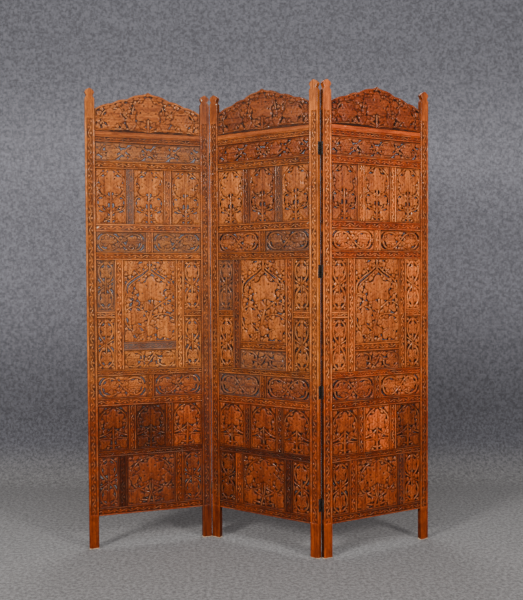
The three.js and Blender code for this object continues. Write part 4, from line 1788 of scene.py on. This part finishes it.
@dataclass
class LeafSizes:
    """Sizes of one leaf, in millimetres, as the frame holds them."""

    width: float = 500.0
    stile: float = 38.0
    room: float = 0.3
    mullion: float = 29.0
    side_column: float = 73.0
    block_mullion: float = 33.0
    block_rail: float = 26.0
    side_lower: float = 209.0
    small_centre: float = 77.0
    centre_rail: float = 32.0
    bottom_side: float = 80.0
    bottom_mullion: float = 33.0
    bottom_rail: float = 30.0
    under_centre: float = 24.0
    over_centre: float = 30.0
    top_rail: float = 42.0
    top_bead: float = 17.0

    @property
    def left(self) -> float:
        """The inner edge of the left stile."""
        return self.stile

    @property
    def right(self) -> float:
        """The inner edge of the right stile."""
        return self.width - self.stile

    @property
    def span(self) -> float:
        """The length of a board that runs from stile to stile."""
        return self.right - self.left - 2 * self.room


class Workshop:
    """Makes each kind of board once and cuts every piece from its kind."""

    def __init__(self, sizes: LeafSizes, hinge_heights: Sequence[float], height: float,
                 materials: dict[str, Material]) -> None:
        """Keeps the sizes and finishes and starts with no boards.

        Args:
            sizes: Sizes of a leaf.
            hinge_heights: Heights of the hinges' middles.
            height: Height of a stile.
            materials: The finishes by material slot.
        """
        self.sizes = sizes
        self.hinge_heights = hinge_heights
        self.height = height
        self.materials = materials
        self.boards: dict[str, Board] = {}
        self.maps: dict[str, tuple[np.ndarray, np.ndarray]] = {}
        self.dice = np.random.default_rng(17)
        self.count = 0

    def board(self, key: str, make: Callable[[], Board]) -> str:
        """Makes a board the first time that its kind is asked for.

        Args:
            key: Name of the kind.
            make: Makes the board.

        Returns:
            The same name.
        """
        if key not in self.boards:
            self.boards[key] = make()
            self.maps[key] = self.boards[key].wear_maps()
            log.info("board %s: %d faces", key, len(self.boards[key].mesh.polygons))
        return key

    def panel(self, design: Callable[[float, float], Drawing], width: float, height: float) -> str:
        """Makes a pierced panel of a design."""
        key = f"{design.__name__}_{round(width)}x{round(height)}"
        return self.board(key, lambda: Board(key, design(width, height), **PIERCED))

    def rail(self, width: float, height: float, head: float = 0.0) -> str:
        """Makes an engraved lying member."""
        key = f"rail_{round(width)}x{round(height)}"
        return self.board(key, lambda: Board(key, Member().rail(width, height, head), **ENGRAVED))

    def upright(self, width: float, height: float) -> str:
        """Makes an engraved standing member."""
        key = f"upright_{round(width)}x{round(height)}"
        return self.board(key, lambda: Board(key, Member().upright(width, height), **ENGRAVED))

    def stile(self, hinged: bool) -> str:
        """Makes a stile, with hinge recesses on its left edge if it is hinged.

        Args:
            hinged: Whether it is.

        Returns:
            The name of the kind of board.
        """
        key = "stile_hinged" if hinged else "stile_plain"
        heights = self.hinge_heights if hinged else ()
        drawn = Stile().draw
        return self.board(
            key, lambda: Board(key, drawn(self.sizes.stile, self.height, heights), **STILE_WOOD))

    def cut(self, piece: Piece, place: LeafPlace, body: str) -> Object:
        """Cuts one piece from its kind of board and sets it in its leaf.

        Args:
            piece: The piece.
            place: The leaf's place.
            body: The moving body that the piece rides on.

        Returns:
            The finished object.
        """
        board = self.boards[piece.board]
        mesh = board.mesh.copy()
        mesh.name = piece.name
        count = len(mesh.vertices)
        flat = np.empty(count * 3)
        mesh.vertices.foreach_get("co", flat)
        own = flat.reshape(-1, 3) / MM
        d = board.drawing
        self.age(mesh, piece, own, d)
        if piece.flip:
            own[:, 0] *= -1
            mesh.flip_normals()
        phase = self.dice.uniform(0, math.tau, 2)
        bow = np.sin(np.pi * np.clip(own[:, 2] / d.height, 0, 1)) * np.cos(np.pi * own[:, 0] / d.width)
        if piece.finish == "panel":
            own[:, 0] += 0.7 * bow * np.sin(own[:, 2] / d.height * 7 + phase[0])
            own[:, 2] += 0.7 * bow * np.sin(own[:, 0] / d.width * 6 + phase[1])
        self.note_grain(mesh, piece, own)
        own[:, 0] += piece.middle
        own[:, 2] += piece.foot
        mesh.vertices.foreach_set("co", place.place(own * MM).ravel())
        mesh.update()
        mesh.materials.clear()
        mesh.materials.append(self.materials[piece.finish])
        made = new_object(piece.name, mesh)
        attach(made, body)
        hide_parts(piece.node)
        self.count += 1
        log.info("piece %s: %d faces", piece.name, len(mesh.polygons))
        return made

    def note_grain(self, mesh: Mesh, piece: Piece, own: np.ndarray) -> None:
        """Keeps each point's place along, through and across the grain.

        Args:
            mesh: The piece's mesh.
            piece: The piece.
            own: Its points in the drawing's millimetres.
        """
        along = own[:, [2, 1, 0]] if piece.grain is Grain.UPRIGHT else own[:, [0, 1, 2]]
        shift = self.dice.uniform(-4.0, 4.0, 3)
        kept = mesh.attributes.new("board", "FLOAT_VECTOR", "POINT")
        kept.data.foreach_set("vector", (along * MM + shift).ravel())

    def age(self, mesh: Mesh, piece: Piece, own: np.ndarray, d: Drawing) -> None:
        """Keeps each point's grime and painted shade, worn places and painted highlights, and tone.

        Args:
            mesh: The piece's mesh.
            piece: The piece.
            own: Its points in the drawing's millimetres.
            d: The drawing.
        """
        dirt, rubbed = self.maps[piece.board]
        aged = Ageing()
        front = own[:, 1] < 8.0
        edge = (own[:, 0] < -d.width / 2 + 1.0) & ("hinged" in piece.board)
        bare = np.clip((aged.scuff - own[:, 2] - piece.foot) / aged.scuff, 0, 1.0)
        if piece.name in CHIPS:
            x, z, size = CHIPS[piece.name]
            x, z = (-own[:, 0] if piece.flip else own[:, 0]) - x, own[:, 2] - z
            rise, run = KNOCK_SLANT
            reach = np.hypot(run * x + rise * z, KNOCK_NARROW * (run * z - rise * x))
            dent = np.clip(1.3 - 1.3 * reach / size, 0, 1) * front
            own[:, 1] += aged.dent * dent
            bare = np.maximum(bare, dent)
        kept = mesh.attributes.new("bare", "FLOAT", "POINT")
        kept.data.foreach_set("value", bare.astype(np.float32))
        for name, values, behind in (("cut", dirt, 0.7), ("rubbed", rubbed, 0.0)):
            read = d.read(values, own[:, 0], own[:, 2])
            kept = mesh.attributes.new(name, "FLOAT", "POINT")
            read = np.where(front, read, behind * read)
            # Painted light and shade on the hinged edge faces: dark on an unflipped stile, as the fold's
            # shadow, and clean on a flipped one, as lit.
            if name == "cut":
                read = np.where(edge, 0.15 if piece.flip else 0.97, read)
            kept.data.foreach_set("value", read.astype(np.float32))
        light, red, dust = piece.tone.value
        cast = CASTS[piece.name.split("_")[0]]
        height = own[:, 2] + piece.foot
        low = eased((aged.low_from - height) / aged.low_over)
        spread = self.dice.uniform(-aged.light_spread, aged.light_spread)
        light = light * cast[0] * (1 + spread) * (1 - aged.low_dark * low)
        spread = self.dice.uniform(-aged.red_spread, aged.red_spread)
        red = np.clip(red + cast[1] + aged.low_red * low + spread, 0, 1)
        dust = np.clip(dust + cast[2] * (1 - low), 0, 1)
        if piece.finish == "stile":
            light = light * (1 - aged.end_dark * eased((height - aged.neck_from) / aged.neck_over))
            light = light * (1 - aged.end_dark * eased((aged.foot_from - height) / aged.foot_over))
        tone = np.column_stack([light, red, dust, np.ones_like(height)])
        kept = mesh.attributes.new("tone", "FLOAT_COLOR", "POINT")
        kept.data.foreach_set("color", tone.astype(np.float32).ravel())


LYING_RAIL = {"finish": "rail", "grain": Grain.LYING}


class ScreenLeaf:
    """One leaf: two stiles, eight rails, the crest and the rows of panels."""

    def __init__(self, side: Side, turn: float, shop: Workshop, tones: dict[str, Tone]) -> None:
        """Keeps the leaf's place, its workshop and the tones of its odd boards.

        Args:
            side: The leaf.
            turn: Its turn about the vertical, in degrees.
            shop: The workshop.
            tones: Tones by the names of pieces.
        """
        self.side = side
        self.shop = shop
        self.place = LeafPlace.from_frame(side, turn)
        self.tones = tones
        self.sizes = shop.sizes
        self.body = f"{side.value}_leaf"

    def levels(self, row: str) -> tuple[float, float]:
        """Gives a row's foot and head in millimetres, from the frame."""
        low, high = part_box(f"{self.side.value}_{row}")
        return low[2] / MM, high[2] / MM

    def put(self, name: str, board: str, row: str, middle: float, foot: float, **more: object) -> None:
        """Cuts one piece and sets it in the leaf.

        Args:
            name: The piece's name within the leaf.
            board: The kind of board.
            row: The frame's node that it stands for.
            middle: Its middle across the leaf.
            foot: Its foot.
            more: Other fields of Piece.
        """
        tone = self.tones.get(name, more.pop("tone", Tone.PLAIN))
        piece = Piece(f"{self.side.value}_{name}", board, f"{self.side.value}_{row}", middle, foot,
                      tone=tone, **more)
        self.shop.cut(piece, self.place, self.body)

    def build(self) -> None:
        """Makes every piece of the leaf."""
        before = self.shop.count
        self.stiles()
        self.rails()
        self.rows()
        self.centre_block()
        self.bottom_row()
        self.head()
        log.info("%s leaf: %d pieces", self.side.value, self.shop.count - before)

    def stiles(self) -> None:
        """Makes the two stiles."""
        s = self.sizes
        hinged = {"left": self.side is not Side.LEFT, "right": self.side is not Side.RIGHT}
        self.put("left_stile", self.shop.stile(hinged["left"]), "leaf_left_stile", s.stile / 2, 0.0,
                 finish="stile")
        self.put("right_stile", self.shop.stile(hinged["right"]), "leaf_right_stile",
                 s.width - s.stile / 2, 0.0, finish="stile", flip=True)

    def rails(self) -> None:
        """Makes the rails that are nodes of their own."""
        s = self.sizes
        for i, row in enumerate(("rail_over_bottom_panels", "rail_over_lower_three",
                                 "rail_over_upper_two", "rail_under_frieze")):
            low, high = self.levels(row)
            self.put(row, self.shop.rail(s.span, high - low), row, s.width / 2, low, **LYING_RAIL,
                     flip=i % 2 == 0)

    def divided(self, count: int) -> tuple[float, list[float], list[float]]:
        """Divides the room inside the stiles into equal panels.

        Args:
            count: How many panels.

        Returns:
            A panel's width, the panels' middles and the mullions' middles.
        """
        s = self.sizes
        wide = (s.right - s.left - (count - 1) * s.mullion) / count
        starts = [s.left + i * (wide + s.mullion) for i in range(count)]
        return wide, [x + wide / 2 for x in starts], [x + wide + s.mullion / 2 for x in starts[:-1]]

    def rows(self) -> None:
        """Makes the rows of equal panels."""
        s = self.sizes
        plans = (("upper_three_panels", "upper_panel", upper_vine, 3, Grain.UPRIGHT),
                 ("upper_two_panels", "upper_lying_panel", lying_scroll, 2, Grain.LYING),
                 ("lower_two_panels", "lower_lying_panel", lying_scroll, 2, Grain.LYING),
                 ("lower_three_panels", "lower_panel", wreathed_leaf, 3, Grain.UPRIGHT))
        for row, title, design, count, grain in plans:
            low, high = self.levels(row)
            wide, middles, between = self.divided(count)
            kind = self.shop.panel(design, wide - 2 * s.room, high - low)
            for i, x in enumerate(middles):
                self.put(f"{title}_{i + 1}", kind, row, x, low, grain=grain, flip=i % 2 == 1)
            post = self.shop.upright(s.mullion, high - low)
            for i, x in enumerate(between):
                self.put(f"{title}_mullion_{i + 1}", post, row, x, low, finish="rail", flip=i % 2 == 1)
        low, high = self.levels("frieze_panel")
        kind = self.shop.panel(frieze, s.span, high - low)
        self.put("frieze", kind, "frieze_panel", s.width / 2, low, grain=Grain.LYING)

    def centre_block(self) -> None:
        """Makes the tree panel, the small panel under it and the side columns."""
        s, row = self.sizes, "centre_block"
        low, high = self.levels(row)
        base, roof = low + s.under_centre, high - s.over_centre
        middle = s.width / 2
        self.put("rail_under_centre", self.shop.rail(s.span, s.under_centre), row, middle, low,
                 **LYING_RAIL)
        self.put("rail_over_centre", self.shop.rail(s.span, s.over_centre), row, middle, roof,
                 **LYING_RAIL)
        broad = s.right - s.left - 2 * (s.side_column + s.block_mullion)
        short = base + s.small_centre
        self.put("small_lying_panel", self.shop.panel(small_lying, broad, s.small_centre), row, middle,
                 base, grain=Grain.LYING)
        self.put("centre_short_rail", self.shop.rail(broad, s.centre_rail), row, middle, short,
                 **LYING_RAIL)
        over = short + s.centre_rail
        self.put("tree_panel", self.shop.panel(tree, broad, roof - over), row, middle, over)
        post = self.shop.upright(s.block_mullion, roof - base)
        side_rail = base + s.side_lower
        side_upper = side_rail + s.block_rail
        for title, inner, out in (("left", 1, s.left), ("right", -1, s.right)):
            flip = inner < 0
            x = out + inner * s.side_column / 2
            self.put(f"{title}_long_mullion", post, row,
                     out + inner * (s.side_column + s.block_mullion / 2), base, finish="rail", flip=flip)
            self.put(f"{title}_lower_narrow_panel",
                     self.shop.panel(narrow_scroll, s.side_column - s.room, s.side_lower), row,
                     x + inner * s.room / 2, base, flip=flip)
            self.put(f"{title}_short_rail", self.shop.rail(s.side_column - s.room, s.block_rail), row,
                     x + inner * s.room / 2, side_rail, **LYING_RAIL, flip=flip)
            self.put(f"{title}_upper_narrow_panel",
                     self.shop.panel(narrow_scroll, s.side_column - s.room, roof - side_upper), row,
                     x + inner * s.room / 2, side_upper, flip=flip)

    def bottom_row(self) -> None:
        """Makes the bottom rail and the row that stands on it."""
        s, row = self.sizes, "bottom_panels_and_rail"
        low, high = self.levels(row)
        base = low + s.bottom_rail
        middle = s.width / 2
        self.put("bottom_rail", self.shop.rail(s.span, s.bottom_rail), row, middle, low, **LYING_RAIL)
        broad = s.right - s.left - 2 * (s.bottom_side + s.bottom_mullion)
        self.put("bottom_broad_panel", self.shop.panel(broad_wreath, broad, high - base), row, middle, base)
        kind = self.shop.panel(narrow_scroll, s.bottom_side - s.room, high - base)
        post = self.shop.upright(s.bottom_mullion, high - base)
        for title, inner, out in (("left", 1, s.left), ("right", -1, s.right)):
            self.put(f"bottom_{title}_panel", kind, row, out + inner * (s.bottom_side + s.room) / 2, base,
                     flip=inner < 0)
            self.put(f"bottom_{title}_mullion", post, row,
                     out + inner * (s.bottom_side + s.bottom_mullion / 2), base, finish="rail",
                     flip=inner < 0)

    def head(self) -> None:
        """Makes the top rail and the crest on it."""
        s, row = self.sizes, "crest_and_top_rail"
        low, high = self.levels(row)
        self.put("top_rail", self.shop.rail(s.span, s.top_rail, head=s.top_bead), row, s.width / 2, low,
                 **LYING_RAIL)
        foot = low + s.top_rail
        key = "crest"
        self.shop.board(key, lambda: Board(key, crest(s.span, high - foot), **PIERCED))
        self.put("crest", key, row, s.width / 2, foot, finish="crest", grain=Grain.LYING)


@dataclass
class Hinge:
    """One plate of a butt hinge in the axes of its leaf, in millimetres.

    Attributes:
        node: The frame's node.
        body: The moving body.
        place: The leaf's place.
        edge: The stile's outer edge across the leaf.
        inward: 1 if the wood lies to the right of the edge, otherwise -1.
        pin: The pin's place across and through the leaf.
        foot: Height of its lower end.
        height: Its height.
        first: Number of its first knuckle.
        knuckles: How many knuckles the hinge has.
        plate: Thickness of the plate.
        barrel: Radius of a knuckle.
        play: Gap beside a knuckle.
        clear: How far the plate stays from the pin's line.
        inset: How far it stays from the stile's other face.
        depth: Thickness of the stile.
        pin_radius: Radius of the pin.
        pin_end: How far the pin stands out at each end.
        screw_radius: Radius of a screw's head.
        screws: Heights of the screws, as shares of the plate's.
        stagger: Where even and odd screws stand through the leaf, as shares of the plate.
    """

    node: str
    body: str
    place: LeafPlace
    edge: float
    inward: int
    pin: Point
    foot: float
    height: float
    first: int
    knuckles: int = 3
    plate: float = 1.5
    barrel: float = 2.0
    play: float = 0.25
    clear: float = 2.4
    inset: float = 1.5
    depth: float = 18.0
    pin_radius: float = 0.9
    pin_end: float = 0.3
    screw_radius: float = 2.1
    screws: tuple[float, float, float] = (0.17, 0.5, 0.83)
    stagger: Point = (0.62, 0.36)

    def build(self, iron: Material) -> None:
        """Makes the plate with its knuckles, and its screws.

        Args:
            iron: The finish.
        """
        bpy.ops.object.select_all(action="DESELECT")
        parts = [self.leafplate()]
        for i in range(self.first, self.knuckles, 2):
            low, high = self.span(i)
            parts += [self.tab(low, high), self.knuckle(low, high)]
        if self.first == 0:
            parts.append(self.rod(self.pin_radius, self.foot - self.pin_end,
                                  self.foot + self.height + self.pin_end, 16, 0.25))
        select_only(*parts)
        bpy.ops.object.join()
        self.finish(parts[0], f"{self.node}_detailed", iron)
        for i, height in enumerate(self.screws):
            self.screw(i, self.foot + self.height * height, iron)

    def span(self, index: int) -> tuple[float, float]:
        """Finds a knuckle's place.

        Args:
            index: Its number from the foot.

        Returns:
            Its foot and head.
        """
        pitch = self.height / self.knuckles
        low = 0.0 if index == 0 else self.play
        high = 0.0 if index == self.knuckles - 1 else self.play
        return self.foot + index * pitch + low, self.foot + (index + 1) * pitch - high

    def reach(self) -> tuple[float, float]:
        """Finds the plate's place through the leaf, short of the other plate's knuckles.

        Returns:
            Where it begins and where it ends.
        """
        if self.pin[1] < self.depth / 2:
            return self.pin[1] + self.clear, self.depth - self.inset
        return self.inset, self.pin[1] - self.clear

    def block(self, y: Point, z: Point, bevel: float) -> Object:
        """Makes a flat bar against the edge with softened arrises.

        Args:
            y: Where it begins and ends through the leaf.
            z: Its foot and head.
            bevel: Width of its softened arrises.

        Returns:
            The bar.
        """
        middle = (self.edge + self.inward * self.plate / 2, sum(y) / 2, sum(z) / 2)
        bpy.ops.mesh.primitive_cube_add(size=1.0, location=middle,
                                        scale=(self.plate, y[1] - y[0], z[1] - z[0]))
        bpy.ops.object.transform_apply(location=True, rotation=True, scale=True)
        return self.softened(bpy.context.object, bevel)

    def leafplate(self) -> Object:
        """Makes the flat of the plate."""
        return self.block(self.reach(), (self.foot, self.foot + self.height), 0.25)

    def tab(self, low: float, high: float) -> Object:
        """Makes the strip that joins the plate to one of its knuckles.

        Args:
            low: The knuckle's foot.
            high: Its head.

        Returns:
            The strip.
        """
        near, far = self.reach()
        front = self.pin[1] < self.depth / 2
        ends = (self.pin[1], near + 1.0) if front else (far - 1.0, self.pin[1])
        return self.block(ends, (low, high), 0.15)

    def rod(self, radius: float, low: float, high: float, sides: int, bevel: float) -> Object:
        """Makes an upright rod on the pin's line.

        Args:
            radius: Its radius.
            low: Its foot.
            high: Its head.
            sides: How many sides it has.
            bevel: Width of its softened arrises.

        Returns:
            The rod.
        """
        bpy.ops.mesh.primitive_cylinder_add(vertices=sides, radius=radius, depth=high - low,
                                            location=(*self.pin, (low + high) / 2))
        made = bpy.context.object
        bpy.ops.object.transform_apply(location=True, rotation=True, scale=True)
        return self.softened(made, bevel)

    def knuckle(self, low: float, high: float) -> Object:
        """Makes one knuckle."""
        return self.rod(self.barrel, low, high, 28, 0.3)

    @staticmethod
    def softened(made: Object, bevel: float) -> Object:
        """Rounds the arrises of a part.

        Args:
            made: The part.
            bevel: Width of the rounding.

        Returns:
            The same part.
        """
        soft = made.modifiers.new("soft", "BEVEL")
        soft.width = bevel
        soft.segments = 2
        soft.limit_method = "ANGLE"
        bpy.ops.object.modifier_apply(modifier="soft")
        return made

    def screw(self, index: int, height: float, iron: Material) -> None:
        """Makes a countersunk screw head with a slot.

        Args:
            index: Its number from the foot, from 0.
            height: Its height.
            iron: The finish.
        """
        near, far = self.reach()
        across = near + (far - near) * self.stagger[index % 2]
        face = self.edge - self.inward * 0.02
        bpy.ops.mesh.primitive_cylinder_add(vertices=24, radius=self.screw_radius, depth=0.5,
                                            location=(face + self.inward * 0.2, across, height),
                                            rotation=(0, math.pi / 2, 0))
        head = bpy.context.object
        bpy.ops.object.transform_apply(location=True, rotation=True, scale=True)
        self.softened(head, 0.12)
        bpy.ops.mesh.primitive_cube_add(size=1.0, location=(face, across, height), scale=(0.5, 6.0, 0.55),
                                        rotation=(0.5 + index * 0.9, 0, 0))
        slot = bpy.context.object
        cut = head.modifiers.new("slot", "BOOLEAN")
        cut.object = slot
        cut.operation = "DIFFERENCE"
        select_only(head)
        bpy.ops.object.modifier_apply(modifier="slot")
        bpy.data.objects.remove(slot)
        self.finish(head, f"{self.node}_screw_{index + 1}", iron)

    def finish(self, made: Object, name: str, iron: Material) -> None:
        """Sets a part in its leaf and gives it its finish.

        Args:
            made: The part.
            name: Its name.
            iron: The finish.
        """
        mesh = made.data
        flat = np.empty(len(mesh.vertices) * 3)
        mesh.vertices.foreach_get("co", flat)
        mesh.vertices.foreach_set("co", self.place.place(flat.reshape(-1, 3) * MM).ravel())
        mesh.update()
        made.name = mesh.name = name
        select_only(made)
        bpy.ops.object.shade_smooth_by_angle(angle=math.radians(35))
        mesh.materials.clear()
        mesh.materials.append(iron)
        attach(made, self.body)
        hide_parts(self.node)


class Hinges:
    """The eight hinges, two plates each."""

    def __init__(self, places: dict[Side, LeafPlace], sizes: LeafSizes, iron: Material) -> None:
        """Keeps the leaves' places and the finish."""
        self.places = places
        self.sizes = sizes
        self.iron = iron

    def build(self) -> None:
        """Makes all the plates."""
        pins = {joint["name"]: joint["pos_m"] for joint in frame["joints"]}
        for fold, left, right in (("left", Side.LEFT, Side.MIDDLE), ("right", Side.MIDDLE, Side.RIGHT)):
            pin = pins[f"{fold}_fold"]
            for i in range(1, HINGES_PER_FOLD + 1):
                for half, side, edge, inward, first in (
                        ("left", left, self.sizes.width, -1, 0), ("right", right, 0.0, 1, 1)):
                    node = f"{fold}_fold_hinge_{i}_{half}_plate"
                    low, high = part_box(node)
                    place = self.places[side]
                    Hinge(node, f"{side.value}_leaf", place, edge, inward, place.own(pin),
                          low[2] / MM, (high[2] - low[2]) / MM, first).build(self.iron)


# --- The room it is shown in


@dataclass
class Studio:
    """Floor, backdrop, lights and camera, in metres, degrees and, for the lens, millimetres."""

    eye: tuple[float, float, float] = (0.0064, -2.982, 1.0761)
    pitch: float = -1.62
    roll: float = -0.3
    lens: float = 29.963
    sensor: float = 24.0
    reach: float = 5.6
    wall: float = 2.5
    wall_at: float = 1.18
    cove: float = 0.32
    breadth: float = 9.0
    drop: float = 0.0006

    def build(self) -> None:
        """Makes everything in the room."""
        self.camera()
        self.floor()
        self.lights()

    def camera(self) -> None:
        """Sets up the camera."""
        data = bpy.data.cameras.new("camera")
        data.sensor_fit = "VERTICAL"
        data.sensor_height = self.sensor
        data.lens = self.lens
        made = new_object("camera", data)
        made.location = self.eye
        look = Euler((math.radians(90 + self.pitch), 0, 0), "XYZ").to_matrix()
        spin = Euler((0, 0, math.radians(self.roll)), "XYZ").to_matrix()
        made.rotation_euler = (look @ spin).to_euler()
        bpy.context.scene.camera = made

    def floor(self) -> None:
        """Makes the felt that runs over the floor and up the wall in one sweep."""
        bpy.ops.object.select_all(action="DESELECT")
        bpy.ops.mesh.primitive_grid_add(x_subdivisions=8, y_subdivisions=120, size=1.0)
        made = bpy.context.object
        made.name = "backdrop"
        for vertex in made.data.vertices:
            run = (vertex.co.y + 0.5) * (self.reach + math.pi / 2 * self.cove + self.wall)
            vertex.co.x *= self.breadth
            vertex.co.y, vertex.co.z = self.sweep(run)
        made.data.polygons.foreach_set("use_smooth", [True] * len(made.data.polygons))
        made.data.materials.append(self.felt())

    def sweep(self, run: float) -> tuple[float, float]:
        """Follows the sweep of the felt.

        Args:
            run: Distance along it from its near edge.

        Returns:
            Depth and height there.
        """
        near = self.wall_at - self.cove - self.reach
        if run < self.reach:
            return near + run, -self.drop
        turn = (run - self.reach) / self.cove
        if turn < math.pi / 2:
            return (self.wall_at - self.cove * (1 - math.sin(turn)),
                    self.cove * (1 - math.cos(turn)) - self.drop)
        return self.wall_at, self.cove + run - self.reach - math.pi / 2 * self.cove

    @staticmethod
    def felt() -> Material:
        """Builds a matt mottled felt, cooler on the wall, and clear when seen from behind.

        Returns:
            The material.
        """
        made, bench, shader = new_material("grey felt")
        place = bench.add("ShaderNodeTexCoord").outputs["Object"]
        parts = bench.add("ShaderNodeSeparateXYZ")
        bench.join(place, parts.inputs[0])
        up = bench.step(parts.outputs[2], -0.05, 0.2)
        colour = bench.blend(up, (0.24, 0.235, 0.235, 1), (0.128, 0.128, 0.147, 1))
        colour = bench.blend(bench.step(parts.outputs[2], 0.3, 1.1), colour, (0.215, 0.215, 0.246, 1))
        colour = bench.blend(bench.step(parts.outputs[2], 1.5, 2.4), colour, (0.135, 0.135, 0.155, 1))
        tufts = bench.step(bench.noise(place, 75.0, 6.0, 0.8), 0.36, 0.64)
        dark = bench.blend(1.0, colour, (0.62, 0.62, 0.62, 1), "MULTIPLY")
        light = bench.blend(1.0, colour, (1.34, 1.34, 1.34, 1), "MULTIPLY")
        bench.join(bench.blend(tufts, dark, light), shader.inputs["Base Color"])
        shader.inputs["Roughness"].default_value = 0.97
        shader.inputs["Specular IOR Level"].default_value = 0.1
        either = bench.add("ShaderNodeMixShader")
        bench.join(bench.add("ShaderNodeNewGeometry").outputs["Backfacing"], either.inputs[0])
        bench.join(shader.outputs[0], either.inputs[1])
        bench.join(bench.add("ShaderNodeBsdfTransparent").outputs[0], either.inputs[2])
        bench.join(either.outputs[0], made.node_tree.nodes["Material Output"].inputs["Surface"])
        return made

    def lights(self) -> None:
        """Hangs the soft lights."""
        world = bpy.data.worlds.new("room") if bpy.context.scene.world is None else bpy.context.scene.world
        bpy.context.scene.world = world
        world.use_nodes = True
        back = world.node_tree.nodes["Background"]
        back.inputs["Color"].default_value = (0.97, 0.98, 1.0, 1)
        back.inputs["Strength"].default_value = 0.24
        for name, place, aim, size, power, colour in (
                ("left softbox", (-2.6, -3.2, 2.3), (0.0, 0.0, 0.9), 0.8, 165, (1.0, 0.97, 0.93)),
                ("right softbox", (2.7, -3.1, 2.3), (0.1, 0.0, 0.9), 0.8, 118, (1.0, 0.97, 0.93)),
                ("back light", (0.0, 1.5, 3.9), (0.0, 0.0, 0.9), 1.2, 70, (1.0, 0.97, 0.93)),
                ("top light", (0.1, -1.7, 3.4), (0.0, -0.2, 0.4), 1.2, 22, (0.95, 0.98, 1.0))):
            data = bpy.data.lights.new(name, "AREA")
            data.size = size
            data.energy = power
            data.color = colour
            made = new_object(name, data)
            made.location = place
            made.rotation_euler = (Vector(aim) - Vector(place)).to_track_quat("-Z", "Y").to_euler()


# --- Putting it together

TONES = {
    Side.LEFT: {
        Tone.DUSTY: ("frieze", "upper_lying_panel_1", "upper_lying_panel_2", "left_upper_narrow_panel"),
        Tone.GREY: ("centre_short_rail", "upper_panel_mullion_1"),
        Tone.DARK: ("lower_panel_1", "rail_over_bottom_panels"),
        Tone.BLACKENED: ("lower_panel_2", "bottom_left_mullion"),
        Tone.SHADY: ("top_rail", "lower_lying_panel_2", "bottom_left_panel", "bottom_broad_panel",
                     "bottom_right_panel", "right_stile"),
        Tone.PALE: ("left_long_mullion", "right_long_mullion"),
        Tone.FADED: ("upper_lying_panel_mullion_1", "upper_panel_mullion_2", "left_short_rail",
                     "rail_over_upper_two"),
        Tone.FRESH: ("right_short_rail", "rail_over_centre", "rail_over_lower_three"),
    },
    Side.MIDDLE: {
        Tone.DUSTY: ("upper_panel_mullion_2", "upper_lying_panel_2", "lower_lying_panel_1",
                     "small_lying_panel", "left_upper_narrow_panel"),
        Tone.DARK: ("frieze", "bottom_left_panel", "bottom_right_mullion", "rail_over_bottom_panels"),
        Tone.SHADY: ("crest", "upper_panel_mullion_1", "upper_lying_panel_1", "lower_lying_panel_2",
                     "left_long_mullion", "upper_panel_2"),
        Tone.LIGHT: ("right_stile", "right_long_mullion", "rail_over_lower_three", "bottom_left_mullion",
                     "right_short_rail"),
    },
    Side.RIGHT: {
        Tone.DARK: ("lower_panel_3", "crest"),
        Tone.RED: ("top_rail", "rail_under_frieze", "rail_over_upper_two", "rail_over_centre",
                   "rail_under_centre", "rail_over_lower_three"),
        Tone.SHADY: ("frieze", "upper_panel_1", "bottom_right_mullion", "lower_lying_panel_1",
                     "small_lying_panel"),
        Tone.PALE: ("upper_lying_panel_mullion_1", "upper_panel_mullion_1", "upper_panel_mullion_2",
                    "left_long_mullion", "lower_panel_2", "lower_panel_mullion_2", "left_short_rail"),
        Tone.LIGHT: ("left_stile", "lower_panel_mullion_1", "right_upper_narrow_panel",
                     "bottom_left_mullion"),
        Tone.FRESH: ("right_long_mullion", "right_short_rail", "upper_lying_panel_1"),
    },
}


# Each leaf's turn about the vertical, in degrees.
TURNS = {Side.LEFT: 17.0, Side.MIDDLE: -31.5, Side.RIGHT: 26.5}


def main() -> None:
    """Builds the screen and its room."""
    logging.basicConfig(level=logging.INFO, format="%(name)s: %(message)s")
    groups = SharedGroups()
    materials = {wood.slot: wood.material(groups) for wood in WOODS}
    iron = IronFinish().material()
    hinge_heights = []
    for i in range(1, HINGES_PER_FOLD + 1):
        low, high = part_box(f"left_fold_hinge_{i}_left_plate")
        hinge_heights.append((low[2] + high[2]) / 2 / MM)
    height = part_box("middle_leaf_left_stile")[1][2] / MM
    shop = Workshop(LeafSizes(), hinge_heights, height, materials)
    places = {}
    for side, turn in TURNS.items():
        tones = {name: tone for tone, names in TONES[side].items() for name in names}
        leaf = ScreenLeaf(side, turn, shop, tones)
        leaf.build()
        places[side] = leaf.place
    Hinges(places, shop.sizes, iron).build()
    Studio().build()
    bpy.context.view_layer.update()
    faces = sum(len(p.data.polygons) for p in bpy.data.objects if p.type == "MESH")
    log.info("%d pieces, %d faces", shop.count, faces)


if __name__ == "__main__":
    main()
